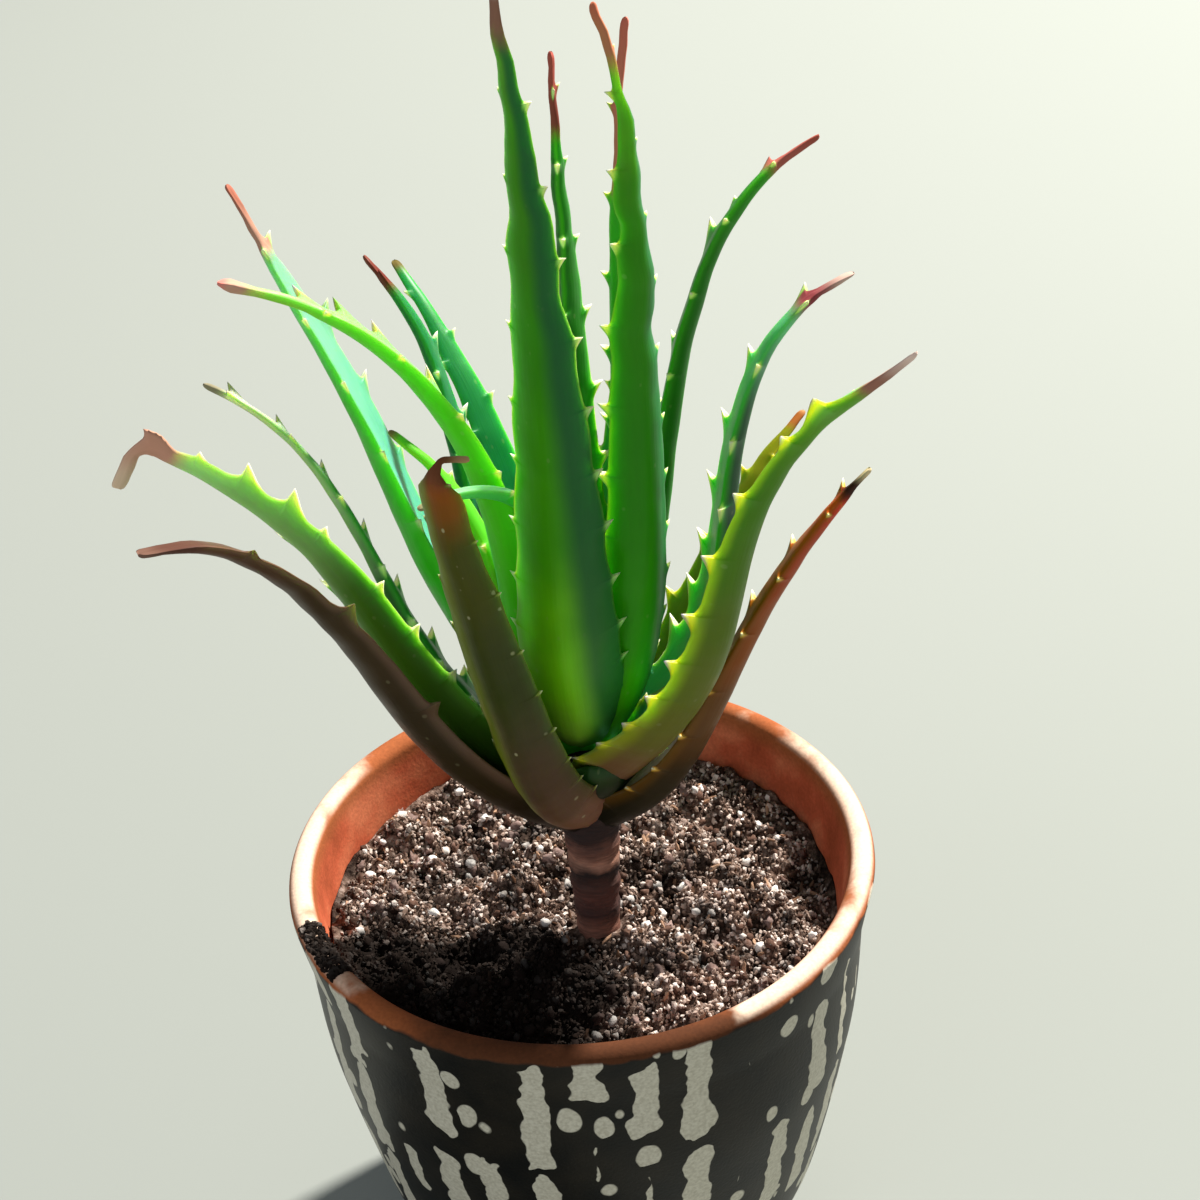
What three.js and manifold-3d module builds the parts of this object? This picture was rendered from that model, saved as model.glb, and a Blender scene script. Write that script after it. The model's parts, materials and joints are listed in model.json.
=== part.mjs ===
// A potted aloe: a tapered clay pot, its potting mix, a short bare stem, and a rosette of
// toothed leaves that grow round the stem's slim upper end.
// Millimetres, +Z up. The origin is the middle of the pot's flat underside.

import * as THREE from 'three';
import { mergeVertices } from 'three/addons/utils/BufferGeometryUtils.js';
import Module from 'manifold-3d';

const wasm = await Module();
wasm.setup();

// ---------------------------------------------------------------- driving dimensions

const GAP = 0.3;                     // clearance between pieces that touch
const SMOOTHING = 0.03;              // a cut piece loses edges and slivers smaller than this

const POT_HEIGHT = 130;
const RIM_RADIUS = 75;
const FOOT_RADIUS = 46;
const WALL = 6.5;                    // width of the pot's rounded lip
const LIP_RISE = 3;                  // how far the lip's round part stands above its sides
const LIP_STEPS = 5;
const FLOOR = 11;                    // thickness of the pot's floor
const POT_SIDES = 40;

const SOIL_LEVEL = 113;              // mean height of the soil's surface at the pot's wall
const SOIL_MOUND = 4.5;              // how much higher it lies round the stem
const SOIL_CLEARANCE = 1;            // between the soil and the pot's wall
const SOIL_RINGS = 11;
const SOIL_SIDES = 34;

const STEM_X = 3.2;                  // the stem stands a little in front of the pot's middle
const STEM_Y = -13.6;
const STEM_SIDES = 14;
const ROOT_END = 74;                 // height of the blunt end in the soil
const CROWN = 149;                   // height where the lowest leaves leave the stem
const STEM_TOP = 182;
const BASE_OFFSET = 1;               // a leaf's line starts this far from the stem's axis

const LINE_STEPS = 240;              // steps in which a leaf's line is followed
const STATION_STEP = 12.5;           // spacing of the sections along a leaf
const FEWEST_STATIONS = 9;
const BLADE_THICK = 6.5;             // greatest thickness, near the leaf's base
const TIP_WIDTH = 1.2;
const TOOTH = 4.0;                   // how far a tooth stands out
const TOOTH_SINK = 2.4;              // how deep its root lies in the blade
const TOOTH_START = 9;               // bare length at the base of the lowest leaf
const TOOTH_STEP = 9;                // spacing of the teeth at the leaf's base
const TOOTH_SPREAD = 9;              // what the spacing gains towards the tip
const TOOTH_END = 0.955;             // share of the leaf's length where the teeth stop
const SEED = 7;

// ---------------------------------------------------------------- the leaves, oldest first
//
// seat: height on the stem. turn: compass direction in degrees from +X, at base, middle and tip.
// rise: degrees above level at base, quarter, half, three quarters and tip. roll: turn about the
// leaf's own line, in degrees, at base, middle and tip. cup: how deeply the blade is channelled.
// taper: higher keeps the blade wide for longer. hook: extra bend of the dried tip, in degrees.
// clasp: share of the width with which the base grips the stem.

const LEAVES = [
  { seat: 151, turn: [213, 213, 213], rise: [36, 52, 66, 54, 27], length: 164, width: 15,
    clasp: 0.62, roll: [6, 2, -2], cup: 0.7, taper: 1.8, hook: -26, look: 'brown' },
  { seat: 152, turn: [344, 345, 346], rise: [27, 60, 67, 60, 52], length: 128, width: 16,
    clasp: 0.62, roll: [-12, -4, 4], cup: 1.0, taper: 1.7, hook: 0, look: 'russet' },
  { seat: 154, turn: [238, 241, 237], rise: [30, 66, 73, 76, 84], length: 152, width: 23,
    clasp: 0.62, roll: [10, 5, 0], cup: 1.0, taper: 1.1, hook: 170, look: 'olive' },
  { seat: 156, turn: [321, 325, 328], rise: [40, 62, 75, 58, 38], length: 170, width: 22,
    clasp: 0.62, roll: [6, -3, -12], cup: 1.15, taper: 1.4, hook: 0, look: 'lime' },
  { seat: 156, turn: [194, 194, 191], rise: [40, 56, 67, 49, 32], length: 166, width: 19,
    clasp: 0.62, roll: [0, -12, -25], cup: 1.0, taper: 1.3, hook: -97, look: 'green' },
  { seat: 160, turn: [38, 38, 38], rise: [34, 50, 57, 48, 24], length: 107, width: 15,
    clasp: 0.4, roll: [0, 0, 0], cup: 1.0, taper: 1.6, hook: 0, look: 'olive' },
  { seat: 160, turn: [168, 169, 170], rise: [34, 53, 70, 62, 28], length: 141, width: 14,
    clasp: 0.4, roll: [12, 22, 28], cup: 1.0, taper: 1.6, hook: 0, look: 'dark' },
  { seat: 161, turn: [160, 160, 160], rise: [52, 76, 82, 64, 34], length: 107, width: 11,
    clasp: 0.4, roll: [0, 0, 0], cup: 1.0, taper: 1.6, hook: 0, look: 'lime' },
  { seat: 163, turn: [154, 150, 146], rise: [55, 55, 71, 61, 60], length: 167, width: 18,
    clasp: 0.4, roll: [40, 12, -20], cup: 0.8, taper: 1.6, hook: 0, look: 'green' },
  { seat: 164, turn: [12, 12, 12], rise: [31, 62, 83, 70, 24], length: 149, width: 17,
    clasp: 0.4, roll: [-8, -10, -12], cup: 1.0, taper: 1.7, hook: -10, look: 'dark' },
  { seat: 166, turn: [224, 222, 219], rise: [63, 95, 88, 44, 0], length: 118, width: 13,
    clasp: 0.4, roll: [0, 6, 10], cup: 1.0, taper: 1.6, hook: 0, look: 'green' },
  { seat: 165, turn: [195, 194, 193], rise: [60, 86, 77, 52, 21], length: 172, width: 19,
    clasp: 0.4, roll: [-16, -2, 16], cup: 1.0, taper: 1.6, hook: 0, look: 'lime' },
  { seat: 166, turn: [62, 62, 62], rise: [20, 35, 54, 70, 81], length: 77, width: 12,
    clasp: 0.4, roll: [0, 0, 0], cup: 1.0, taper: 1.6, hook: 0, look: 'dark' },
  { seat: 166, turn: [138, 141, 144], rise: [52, 67, 79, 76, 37], length: 139, width: 15,
    clasp: 0.4, roll: [10, 22, 30], cup: 1.0, taper: 1.5, hook: 0, look: 'dark' },
  { seat: 167, turn: [122, 122, 122], rise: [70, 71, 66, 47, 28], length: 134, width: 15,
    clasp: 0.4, roll: [0, 0, 0], cup: 1.0, taper: 1.6, hook: 0, look: 'dark' },
  { seat: 169, turn: [74, 74, 74], rise: [36, 48, 58, 68, 77], length: 114, width: 12,
    clasp: 0.4, roll: [0, 0, 0], cup: 1.0, taper: 1.6, hook: 0, look: 'dark' },
  { seat: 170, turn: [32, 32, 30], rise: [56, 73, 78, 61, 10], length: 166, width: 17,
    clasp: 0.4, roll: [-40, -40, -38], cup: 1.0, taper: 1.5, hook: 0, look: 'dark' },
  { seat: 172, turn: [46, 50, 56], rise: [54, 81, 88, 85, 72], length: 174, width: 10,
    clasp: 0.4, roll: [0, -8, -16], cup: 1.0, taper: 1.2, hook: 0, look: 'green' },
  { seat: 173, turn: [318, 314, 308], rise: [56, 80, 89, 89, 113], length: 196, width: 20,
    clasp: 0.4, roll: [-30, -14, 0], cup: 1.0, taper: 1.5, hook: 0, look: 'green' },
  { seat: 172, turn: [264, 254, 238], rise: [45, 86, 87, 86, 80], length: 210, width: 23,
    clasp: 0.62, roll: [4, -4, -10], cup: 1.2, taper: 1.4, hook: 0, look: 'green' },
  { seat: 174, turn: [72, 86, 92], rise: [68, 83, 87, 87, 86], length: 170, width: 12,
    clasp: 0.4, roll: [0, 45, 75], cup: 1.0, taper: 1.7, hook: 0, look: 'dark' },
];

const HOOK_START = 0.87;             // share of the length after which a dried tip bends
const CUP = [0.95, 0.55, 0.42, 0.35, 0.3];

// ---------------------------------------------------------------- colours

const finish = (colour, roughness) =>
  new THREE.MeshStandardMaterial({ color: colour, roughness, metalness: 0 });

const MATERIALS = {
  terracotta: finish('#c25f3c', 0.85),
  soil: finish('#3a2c25', 1),
  stem: finish('#6b4030', 0.8),
  green: finish('#4c9a1c', 0.45),
  lime: finish('#74a424', 0.45),
  dark: finish('#2a6e26', 0.45),
  olive: finish('#5d6034', 0.5),
  russet: finish('#96502a', 0.55),
  brown: finish('#4b382b', 0.65),
};

// ---------------------------------------------------------------- helpers

// Smooth value at a share from 0 to 1 along a few equally spaced values.
function along(values, share) {
  const last = values.length - 1;
  const place = Math.min(share * last, last - 1e-9);
  const i = Math.floor(place);
  const f = place - i;
  const a = values[Math.max(i - 1, 0)];
  const b = values[i];
  const c = values[i + 1];
  const d = values[Math.min(i + 2, last)];
  return b + 0.5 * f * (c - a + f * (2 * a - 5 * b + 4 * c - d + f * (3 * (b - c) + d - a)));
}

function seededRandom(seed) {
  let state = seed;
  return () => {
    state = (state * 1664525 + 1013904223) % 4294967296;
    return state / 4294967296;
  };
}

function solidFrom(geometry) {
  const bare = geometry.clone();
  bare.deleteAttribute('normal');
  bare.deleteAttribute('uv');
  const merged = mergeVertices(bare, 1e-4);
  const mesh = new wasm.Mesh({
    numProp: 3,
    vertProperties: new Float32Array(merged.attributes.position.array),
    triVerts: new Uint32Array(merged.index.array),
  });
  return new wasm.Manifold(mesh);
}

// A cut piece as a geometry, without the tiny slivers that a cut leaves.
function geometryFrom(solid) {
  const mesh = solid.simplify(SMOOTHING).getMesh();
  const geometry = new THREE.BufferGeometry();
  geometry.setAttribute('position', new THREE.BufferAttribute(mesh.vertProperties, 3));
  geometry.setIndex(new THREE.BufferAttribute(mesh.triVerts, 1));
  geometry.computeVertexNormals();
  return geometry;
}

function biggestBody(solid) {
  const bodies = solid.decompose();
  bodies.sort((a, b) => b.volume() - a.volume());
  return bodies[0];
}

// Closed skin over a row of rings that all have the same number of points.
function loft(rings) {
  const count = rings[0].length;
  const positions = [];
  const faces = [];
  for (const ring of rings) {
    for (const point of ring) {
      positions.push(point.x, point.y, point.z);
    }
  }
  for (let i = 0; i < rings.length - 1; i += 1) {
    for (let k = 0; k < count; k += 1) {
      const next = (k + 1) % count;
      const a = i * count + k;
      const b = i * count + next;
      faces.push(a, b, b + count, a, b + count, a + count);
    }
  }
  const endStart = (rings.length - 1) * count;
  for (let k = 1; k < count - 1; k += 1) {
    faces.push(0, k + 1, k);
    faces.push(endStart, endStart + k, endStart + k + 1);
  }
  const geometry = new THREE.BufferGeometry();
  geometry.setAttribute('position', new THREE.Float32BufferAttribute(positions, 3));
  geometry.setIndex(faces);
  return geometry;
}

// A lathe turns about Y; this stands it up on +Z.
function turned(profile, sides) {
  const points = profile.map(([radius, height]) => new THREE.Vector2(radius, height));
  const geometry = new THREE.LatheGeometry(points, sides);
  geometry.rotateX(Math.PI / 2);
  return geometry;
}

// ---------------------------------------------------------------- pot

// Radius and height pairs up the outside, a soft barrel taper, and down the inside.
const POT_OUTSIDE = [
  [FOOT_RADIUS - 2, 0], [FOOT_RADIUS, 2.5], [52.5, 15], [59, 31], [63.6, 50],
  [67.6, 70], [70.4, 88], [72, 112],
];
const POT_INSIDE = [
  [65.6, 112], [63.8, 88], [61, 70], [57, 50], [52, 31], [44, FLOOR],
];

function potGeometry() {
  const lip = [];
  const middle = RIM_RADIUS - WALL / 2;
  for (let i = 0; i <= LIP_STEPS; i += 1) {
    const angle = (Math.PI * i) / LIP_STEPS;
    const radius = middle + (WALL / 2) * Math.cos(angle);
    lip.push([radius, POT_HEIGHT - LIP_RISE + LIP_RISE * Math.sin(angle)]);
  }
  return turned([[0, 0], ...POT_OUTSIDE, ...lip, ...POT_INSIDE, [0, FLOOR]], POT_SIDES);
}

function radiusInside(height) {
  for (let i = 0; i < POT_INSIDE.length - 1; i += 1) {
    const [upperRadius, upper] = POT_INSIDE[i];
    const [lowerRadius, lower] = POT_INSIDE[i + 1];
    if (height >= lower) {
      return THREE.MathUtils.mapLinear(height, lower, upper, lowerRadius, upperRadius);
    }
  }
  return POT_INSIDE[POT_INSIDE.length - 1][0];
}

// ---------------------------------------------------------------- stem

// Radius and height pairs: a root end, the bare stem with its leaf scars, and the slim core
// that the leaf bases sit on.
const STEM_PROFILE = [
  [2.2, ROOT_END], [4.2, 92], [5.3, 112], [5.6, 117], [5.3, 119], [5.9, 124], [5.5, 126],
  [6.3, 132], [5.8, 134], [6.6, 139], [6.2, 141], [7.0, 145], [6.5, 147], [7.2, CROWN],
  [7.2, CROWN + 3], [8.5, 172], [8.0, STEM_TOP - 2],
];

function stemGeometry(growth) {
  const profile = STEM_PROFILE.map(([radius, height]) => [radius + growth, height]);
  const start = [0, ROOT_END - growth];
  const end = [0, STEM_TOP + growth];
  const geometry = turned([start, ...profile, end], STEM_SIDES);
  geometry.translate(STEM_X, STEM_Y, 0);
  return geometry;
}

// ---------------------------------------------------------------- soil

// The surface is a low mound with clods, banked up at the left front and sunk along the right.
function soilHeight(x, y) {
  const radius = Math.hypot(x, y);
  const mound = SOIL_MOUND * Math.exp(-((Math.hypot(x - STEM_X, y - STEM_Y) / 38) ** 2));
  const bank = 9 * Math.exp(-(((x + 55) / 17) ** 2) - (((y + 26) / 26) ** 2));
  const sink = -4 * Math.exp(-(((x - 58) / 15) ** 2) - (((y + 2) / 26) ** 2));
  const clods = 0.9 * Math.sin(x * 0.31 + 1.2) * Math.cos(y * 0.27 - 0.4)
    + 0.5 * Math.sin(x * 0.62 - y * 0.51);
  return SOIL_LEVEL + mound + bank + sink + clods * Math.min(1, radius / 12);
}

function soilGeometry() {
  const rings = [];
  const bottom = FLOOR + GAP;
  const levels = [bottom, 31, 50, 70, 88];
  const ringAt = (radius, heightAt) => {
    const ring = [];
    for (let k = 0; k < SOIL_SIDES; k += 1) {
      const angle = (2 * Math.PI * k) / SOIL_SIDES;
      const x = radius * Math.cos(angle);
      const y = radius * Math.sin(angle);
      ring.push(new THREE.Vector3(x, y, heightAt(x, y)));
    }
    return ring;
  };
  rings.push(ringAt(0.5, () => bottom));
  for (const level of levels) {
    rings.push(ringAt(radiusInside(level) - SOIL_CLEARANCE, () => level));
  }
  const rim = radiusInside(SOIL_LEVEL) - SOIL_CLEARANCE;
  for (let i = SOIL_RINGS; i >= 1; i -= 1) {
    rings.push(ringAt((rim * i) / SOIL_RINGS, soilHeight));
  }
  return loft(rings);
}

// ---------------------------------------------------------------- leaves

// Points, directions and shares along a leaf's line.
function leafLine(leaf, stations) {
  const step = leaf.length / LINE_STEPS;
  const point = new THREE.Vector3(STEM_X, STEM_Y, leaf.seat);
  const line = [];
  for (let i = 0; i <= LINE_STEPS; i += 1) {
    const share = i / LINE_STEPS;
    const bend = leaf.hook * Math.max(0, (share - HOOK_START) / (1 - HOOK_START));
    const rise = THREE.MathUtils.degToRad(along(leaf.rise, share) + bend);
    const turn = THREE.MathUtils.degToRad(along(leaf.turn, share));
    const outward = new THREE.Vector3(Math.cos(turn), Math.sin(turn), 0);
    if (i === 0) {
      point.addScaledVector(outward, BASE_OFFSET);
    }
    const forward = outward.clone().multiplyScalar(Math.cos(rise));
    forward.z = Math.sin(rise);
    const face = outward.clone().multiplyScalar(-Math.sin(rise));
    face.z = Math.cos(rise);
    const roll = THREE.MathUtils.degToRad(along(leaf.roll, share));
    face.applyAxisAngle(forward, roll);
    const side = new THREE.Vector3().crossVectors(forward, face);
    line.push({ share, point: point.clone(), forward, face, side });
    point.addScaledVector(forward, step);
  }
  const picked = [];
  for (let i = 0; i <= stations; i += 1) {
    picked.push(line[Math.round((i * LINE_STEPS) / stations)]);
  }
  return picked;
}

function bladeWidth(leaf, share) {
  const sheath = leaf.clasp + (1 - leaf.clasp) * Math.min(share / 0.12, 1) ** 0.7;
  return leaf.width * sheath * (1 - share ** leaf.taper) ** 0.92 + TIP_WIDTH * share;
}

function bladeThickness(share) {
  return BLADE_THICK * 0.95 * (1 - share) ** 0.75 + 1.4;
}

function bladeCup(leaf, share) {
  return leaf.cup * along(CUP, share) * 0.5 * bladeWidth(leaf, share);
}

// The crescent section: across the upper face from edge to edge, then back under the leaf.
const ACROSS_UPPER = [-1, -0.5, 0.5, 1];
const ACROSS_LOWER = [0.64, 0, -0.64];
const EDGE_GROWTH = 2.4;             // a grown blade's sharp margin moves this many gaps out

function section(leaf, station, growth) {
  const half = bladeWidth(leaf, station.share) / 2;
  const cup = bladeCup(leaf, station.share);
  const thick = bladeThickness(station.share) / 2;
  const place = (across, upper) => {
    const slope = (2 * cup * across) / half;
    const stretch = Math.hypot(1, slope);
    const atEdge = Math.abs(across) === 1;
    const past = atEdge ? (across * EDGE_GROWTH * growth) / stretch : 0;
    const lift = atEdge ? 0 : thick * (1 - across * across) + growth * stretch;
    return station.point.clone()
      .addScaledVector(station.side, across * half + past)
      .addScaledVector(station.face, cup * across * across + slope * past + lift * upper);
  };
  return [
    ...ACROSS_UPPER.map((across) => place(across, 1)),
    ...ACROSS_LOWER.map((across) => place(across, -1)),
  ];
}

// The blade without its teeth; with growth it is that much larger all round.
function blade(leaf, growth) {
  const stations = Math.max(FEWEST_STATIONS, Math.round(leaf.length / STATION_STEP));
  const line = leafLine(leaf, stations);
  line[0].point.addScaledVector(line[0].forward, -growth);
  line[stations].point.addScaledVector(line[stations].forward, growth);
  const rings = line.map((station) => section(leaf, station, growth));
  return solidFrom(loft(rings));
}

// One tooth: a three-sided spike that leans towards the leaf's tip. Its corners are sharp, so a
// grown one moves them out by more than the growth.
function tooth(leaf, station, side, size, growth) {
  const half = bladeWidth(leaf, station.share) / 2;
  const across = Math.max(0.25, 1 - TOOTH_SINK / half);
  const sink = half * (1 - across);
  const inside = 0.5 * bladeThickness(station.share) * (1 - across * across);
  const root = station.point.clone()
    .addScaledVector(station.side, side * (half - sink))
    .addScaledVector(station.face, bladeCup(leaf, station.share) * across * across);
  const girth = Math.min(0.2 * size, 0.8 * inside) + 2 * growth;
  const back = root.clone().addScaledVector(station.forward, -0.5 * size - 3 * growth);
  const frontUpper = root.clone()
    .addScaledVector(station.forward, 0.4 * size + 2 * growth)
    .addScaledVector(station.face, girth);
  const frontLower = root.clone()
    .addScaledVector(station.forward, 0.4 * size + 2 * growth)
    .addScaledVector(station.face, -girth);
  const reach = new THREE.Vector3()
    .addScaledVector(station.side, side * (0.88 * size + sink))
    .addScaledVector(station.forward, 0.5 * size)
    .addScaledVector(station.face, 0.3 * size);
  reach.setLength(reach.length() + 4 * growth);
  const tip = root.clone().add(reach);
  const order = side > 0 ? [back, frontUpper, frontLower, tip] : [back, frontLower, frontUpper, tip];
  const geometry = new THREE.BufferGeometry().setFromPoints(order);
  geometry.setIndex([0, 1, 2, 0, 3, 1, 1, 3, 2, 2, 3, 0]);
  return solidFrom(geometry);
}

function teeth(leaf, growth, seed) {
  const random = seededRandom(seed);
  const solids = [];
  const line = leafLine(leaf, LINE_STEPS);
  for (const side of [-1, 1]) {
    let distance = TOOTH_START + 0.5 * (leaf.seat - CROWN) + 4 * random();
    while (distance < leaf.length * TOOTH_END) {
      const share = distance / leaf.length;
      const size = TOOTH * (0.75 + 0.25 * Math.sin(Math.PI * Math.min(1.3 * share, 1)));
      const station = line[Math.round(share * LINE_STEPS)];
      solids.push(tooth(leaf, station, side, size, growth));
      const step = TOOTH_STEP + TOOTH_SPREAD * Math.min(1.8 * share, 1);
      distance += step * (0.88 + 0.24 * random());
    }
  }
  return solids;
}

function wholeLeaf(leaf, index, growth) {
  let solid = blade(leaf, growth);
  for (const spike of teeth(leaf, growth, SEED + index)) {
    solid = solid.add(spike);
  }
  return solid;
}

// ---------------------------------------------------------------- assembly

const plant = new THREE.Group();
plant.name = 'potted_aloe';

function addPiece(name, geometry, material) {
  const mesh = new THREE.Mesh(geometry, MATERIALS[material]);
  mesh.name = name;
  plant.add(mesh);
}

addPiece('pot', potGeometry(), 'terracotta');

const stemRoom = solidFrom(stemGeometry(GAP));
const soil = biggestBody(solidFrom(soilGeometry()).subtract(stemRoom));
addPiece('soil', geometryFrom(soil), 'soil');
addPiece('trunk', stemGeometry(0), 'stem');

// From the youngest leaf outwards: each leaf wraps what is inside it, so it is cut back to a
// small gap from the stem and from the younger leaves.
let taken = stemRoom;
for (let i = LEAVES.length - 1; i >= 0; i -= 1) {
  const leaf = LEAVES[i];
  const name = `leaf_${String(i + 1).padStart(2, '0')}`;
  const solid = biggestBody(wholeLeaf(leaf, i, 0).subtract(taken));
  addPiece(name, geometryFrom(solid), leaf.look);
  taken = taken.add(wholeLeaf(leaf, i, GAP));
}

export default plant;
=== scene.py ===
# The looks of a potted aloe: toothed, waxy leaves with dried tips, a ringed stem, crumbly potting
# mix with white grit, and a clay pot with a bare lip and pale runs over a dark coat.
# The rules of the forms work in millimetres, and the meshes are made in metres.

import json
import math
import random

import bmesh
import bpy
import numpy as np
from mathutils import Matrix, Vector, noise

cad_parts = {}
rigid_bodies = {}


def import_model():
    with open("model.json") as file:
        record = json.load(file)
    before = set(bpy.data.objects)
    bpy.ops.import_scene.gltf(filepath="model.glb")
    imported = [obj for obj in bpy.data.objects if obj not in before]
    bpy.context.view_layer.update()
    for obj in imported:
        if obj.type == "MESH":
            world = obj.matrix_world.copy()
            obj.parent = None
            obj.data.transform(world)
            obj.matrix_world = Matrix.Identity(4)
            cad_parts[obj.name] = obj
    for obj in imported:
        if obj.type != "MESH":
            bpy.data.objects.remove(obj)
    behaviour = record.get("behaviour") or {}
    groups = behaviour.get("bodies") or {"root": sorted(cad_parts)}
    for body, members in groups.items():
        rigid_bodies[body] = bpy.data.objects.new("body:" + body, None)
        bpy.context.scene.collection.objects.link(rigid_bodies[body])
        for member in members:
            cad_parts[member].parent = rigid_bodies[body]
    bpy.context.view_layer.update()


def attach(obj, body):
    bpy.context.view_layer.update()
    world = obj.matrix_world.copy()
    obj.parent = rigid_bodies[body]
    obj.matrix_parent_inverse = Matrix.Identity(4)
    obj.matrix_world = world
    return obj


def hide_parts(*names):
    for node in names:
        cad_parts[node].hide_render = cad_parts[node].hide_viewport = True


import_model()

MM = 0.001

# ------------------------------------------------------------------ driving dimensions, in mm

POT_HEIGHT = 130
RIM_RADIUS = 75
FOOT_RADIUS = 46
WALL = 6.5
LIP_RISE = 3
FLOOR = 11
# The walls from the foot up and from the lip down, as radius and height pairs.
POT_OUTSIDE = [
    (FOOT_RADIUS - 2, 0), (FOOT_RADIUS, 2.5), (52.5, 15), (59, 31), (63.6, 50), (67.6, 70),
    (70.4, 88), (72, 112),
]
POT_INSIDE = [(65.6, 112), (63.8, 88), (61, 70), (57, 50), (52, 31), (44, FLOOR)]

SOIL_LEVEL = 113
SOIL_MOUND = 4.5
SOIL_CLEARANCE = 1

STEM_X = 3.2
STEM_Y = -13.6
ROOT_END = 74
CROWN = 149
STEM_TOP = 182
BASE_OFFSET = 1         # a leaf's line starts this far from the stem's axis
STEM_PROFILE = [
    (2.2, ROOT_END), (4.2, 92), (5.3, 112), (5.6, 117), (5.3, 119), (5.9, 124), (5.5, 126),
    (6.3, 132), (5.8, 134), (6.6, 139), (6.2, 141), (7.0, 145), (6.5, 147), (7.2, CROWN),
    (7.2, CROWN + 3), (8.5, 172), (8.0, STEM_TOP - 2),
]

LINE_STEPS = 240        # steps in which a leaf's line is followed
BLADE_THICK = 6.5
TOOTH = 4.0
TOOTH_START = 9         # bare length at the base of the lowest leaf
TOOTH_STEP = 9          # spacing of the teeth at the base, and what it grows by
TOOTH_SPREAD = 9
TOOTH_END = 0.955       # share of the length where the teeth stop
TOOTH_LIFT = 0.45       # how far a tooth rises for each millimetre that it stands out
HOOK_START = 0.87       # share of the length where a plain tip starts to bend
WITHER = 0.05           # share of the length in which a blade shrinks to its dried tip
CUP = (0.95, 0.55, 0.42, 0.35, 0.3)
SEED = 7

# ------------------------------------------------------------------ the leaves, oldest first
#
# The first ten values are the leaf's form, as in the frame: seat on the stem, turn (compass
# direction), rise above level, length, width, clasp (how much of its width grips the stem),
# roll, cup (depth of the channel), taper, and the hook of its dried tip. A row of values runs
# from the base to the tip. Then come:
# slot: the finish that the record gives it.
# outer, inner: colours of the outer and of the channelled face, from the base to the tip.
# dry: the share of the length where the dried tip starts, and its first and last colour.
# margin, thorn: colours of the margin's line and of a tooth's foot.
# thorns: size of the teeth on side -1 and on side 1.
# flank: painted shade over one side of the outer face, or painted glow on the third leaf: its
# colour, and the side of the outer face that it lies on.
# spines: single teeth with a place of their own, as share, side, size and how living they are.
# freckles: how strong they are.
# tip: width of the dried tip. wither: the share where the blade starts to shrink to it.
# snap: the shares between which the tip hooks. gnarl: how knotted the upper part is.
# blunt: how much of the width the end keeps. paddle: how much the tip swells before its end.
# bare: the length without teeth at the base.

LEAF_FORM = ("seat", "turn", "rise", "length", "width", "clasp", "roll", "cup", "taper", "hook",
             "slot", "outer", "inner", "dry")
USUAL_LEAF = {
    "flank": None, "spines": (), "freckles": 0.0, "tip": 2.4, "wither": 2.0,
    "snap": (HOOK_START, 1.0), "gnarl": 0.25, "blunt": 0.0, "paddle": 0.0,
}


def leaf(*form, **own):
    """A leaf's values by their names, with the usual ones where it has none of its own."""
    spec = {**USUAL_LEAF, **dict(zip(LEAF_FORM, form)), **own}
    spec.setdefault("bare", TOOTH_START + 0.5 * (spec["seat"] - CROWN))
    return spec


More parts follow.
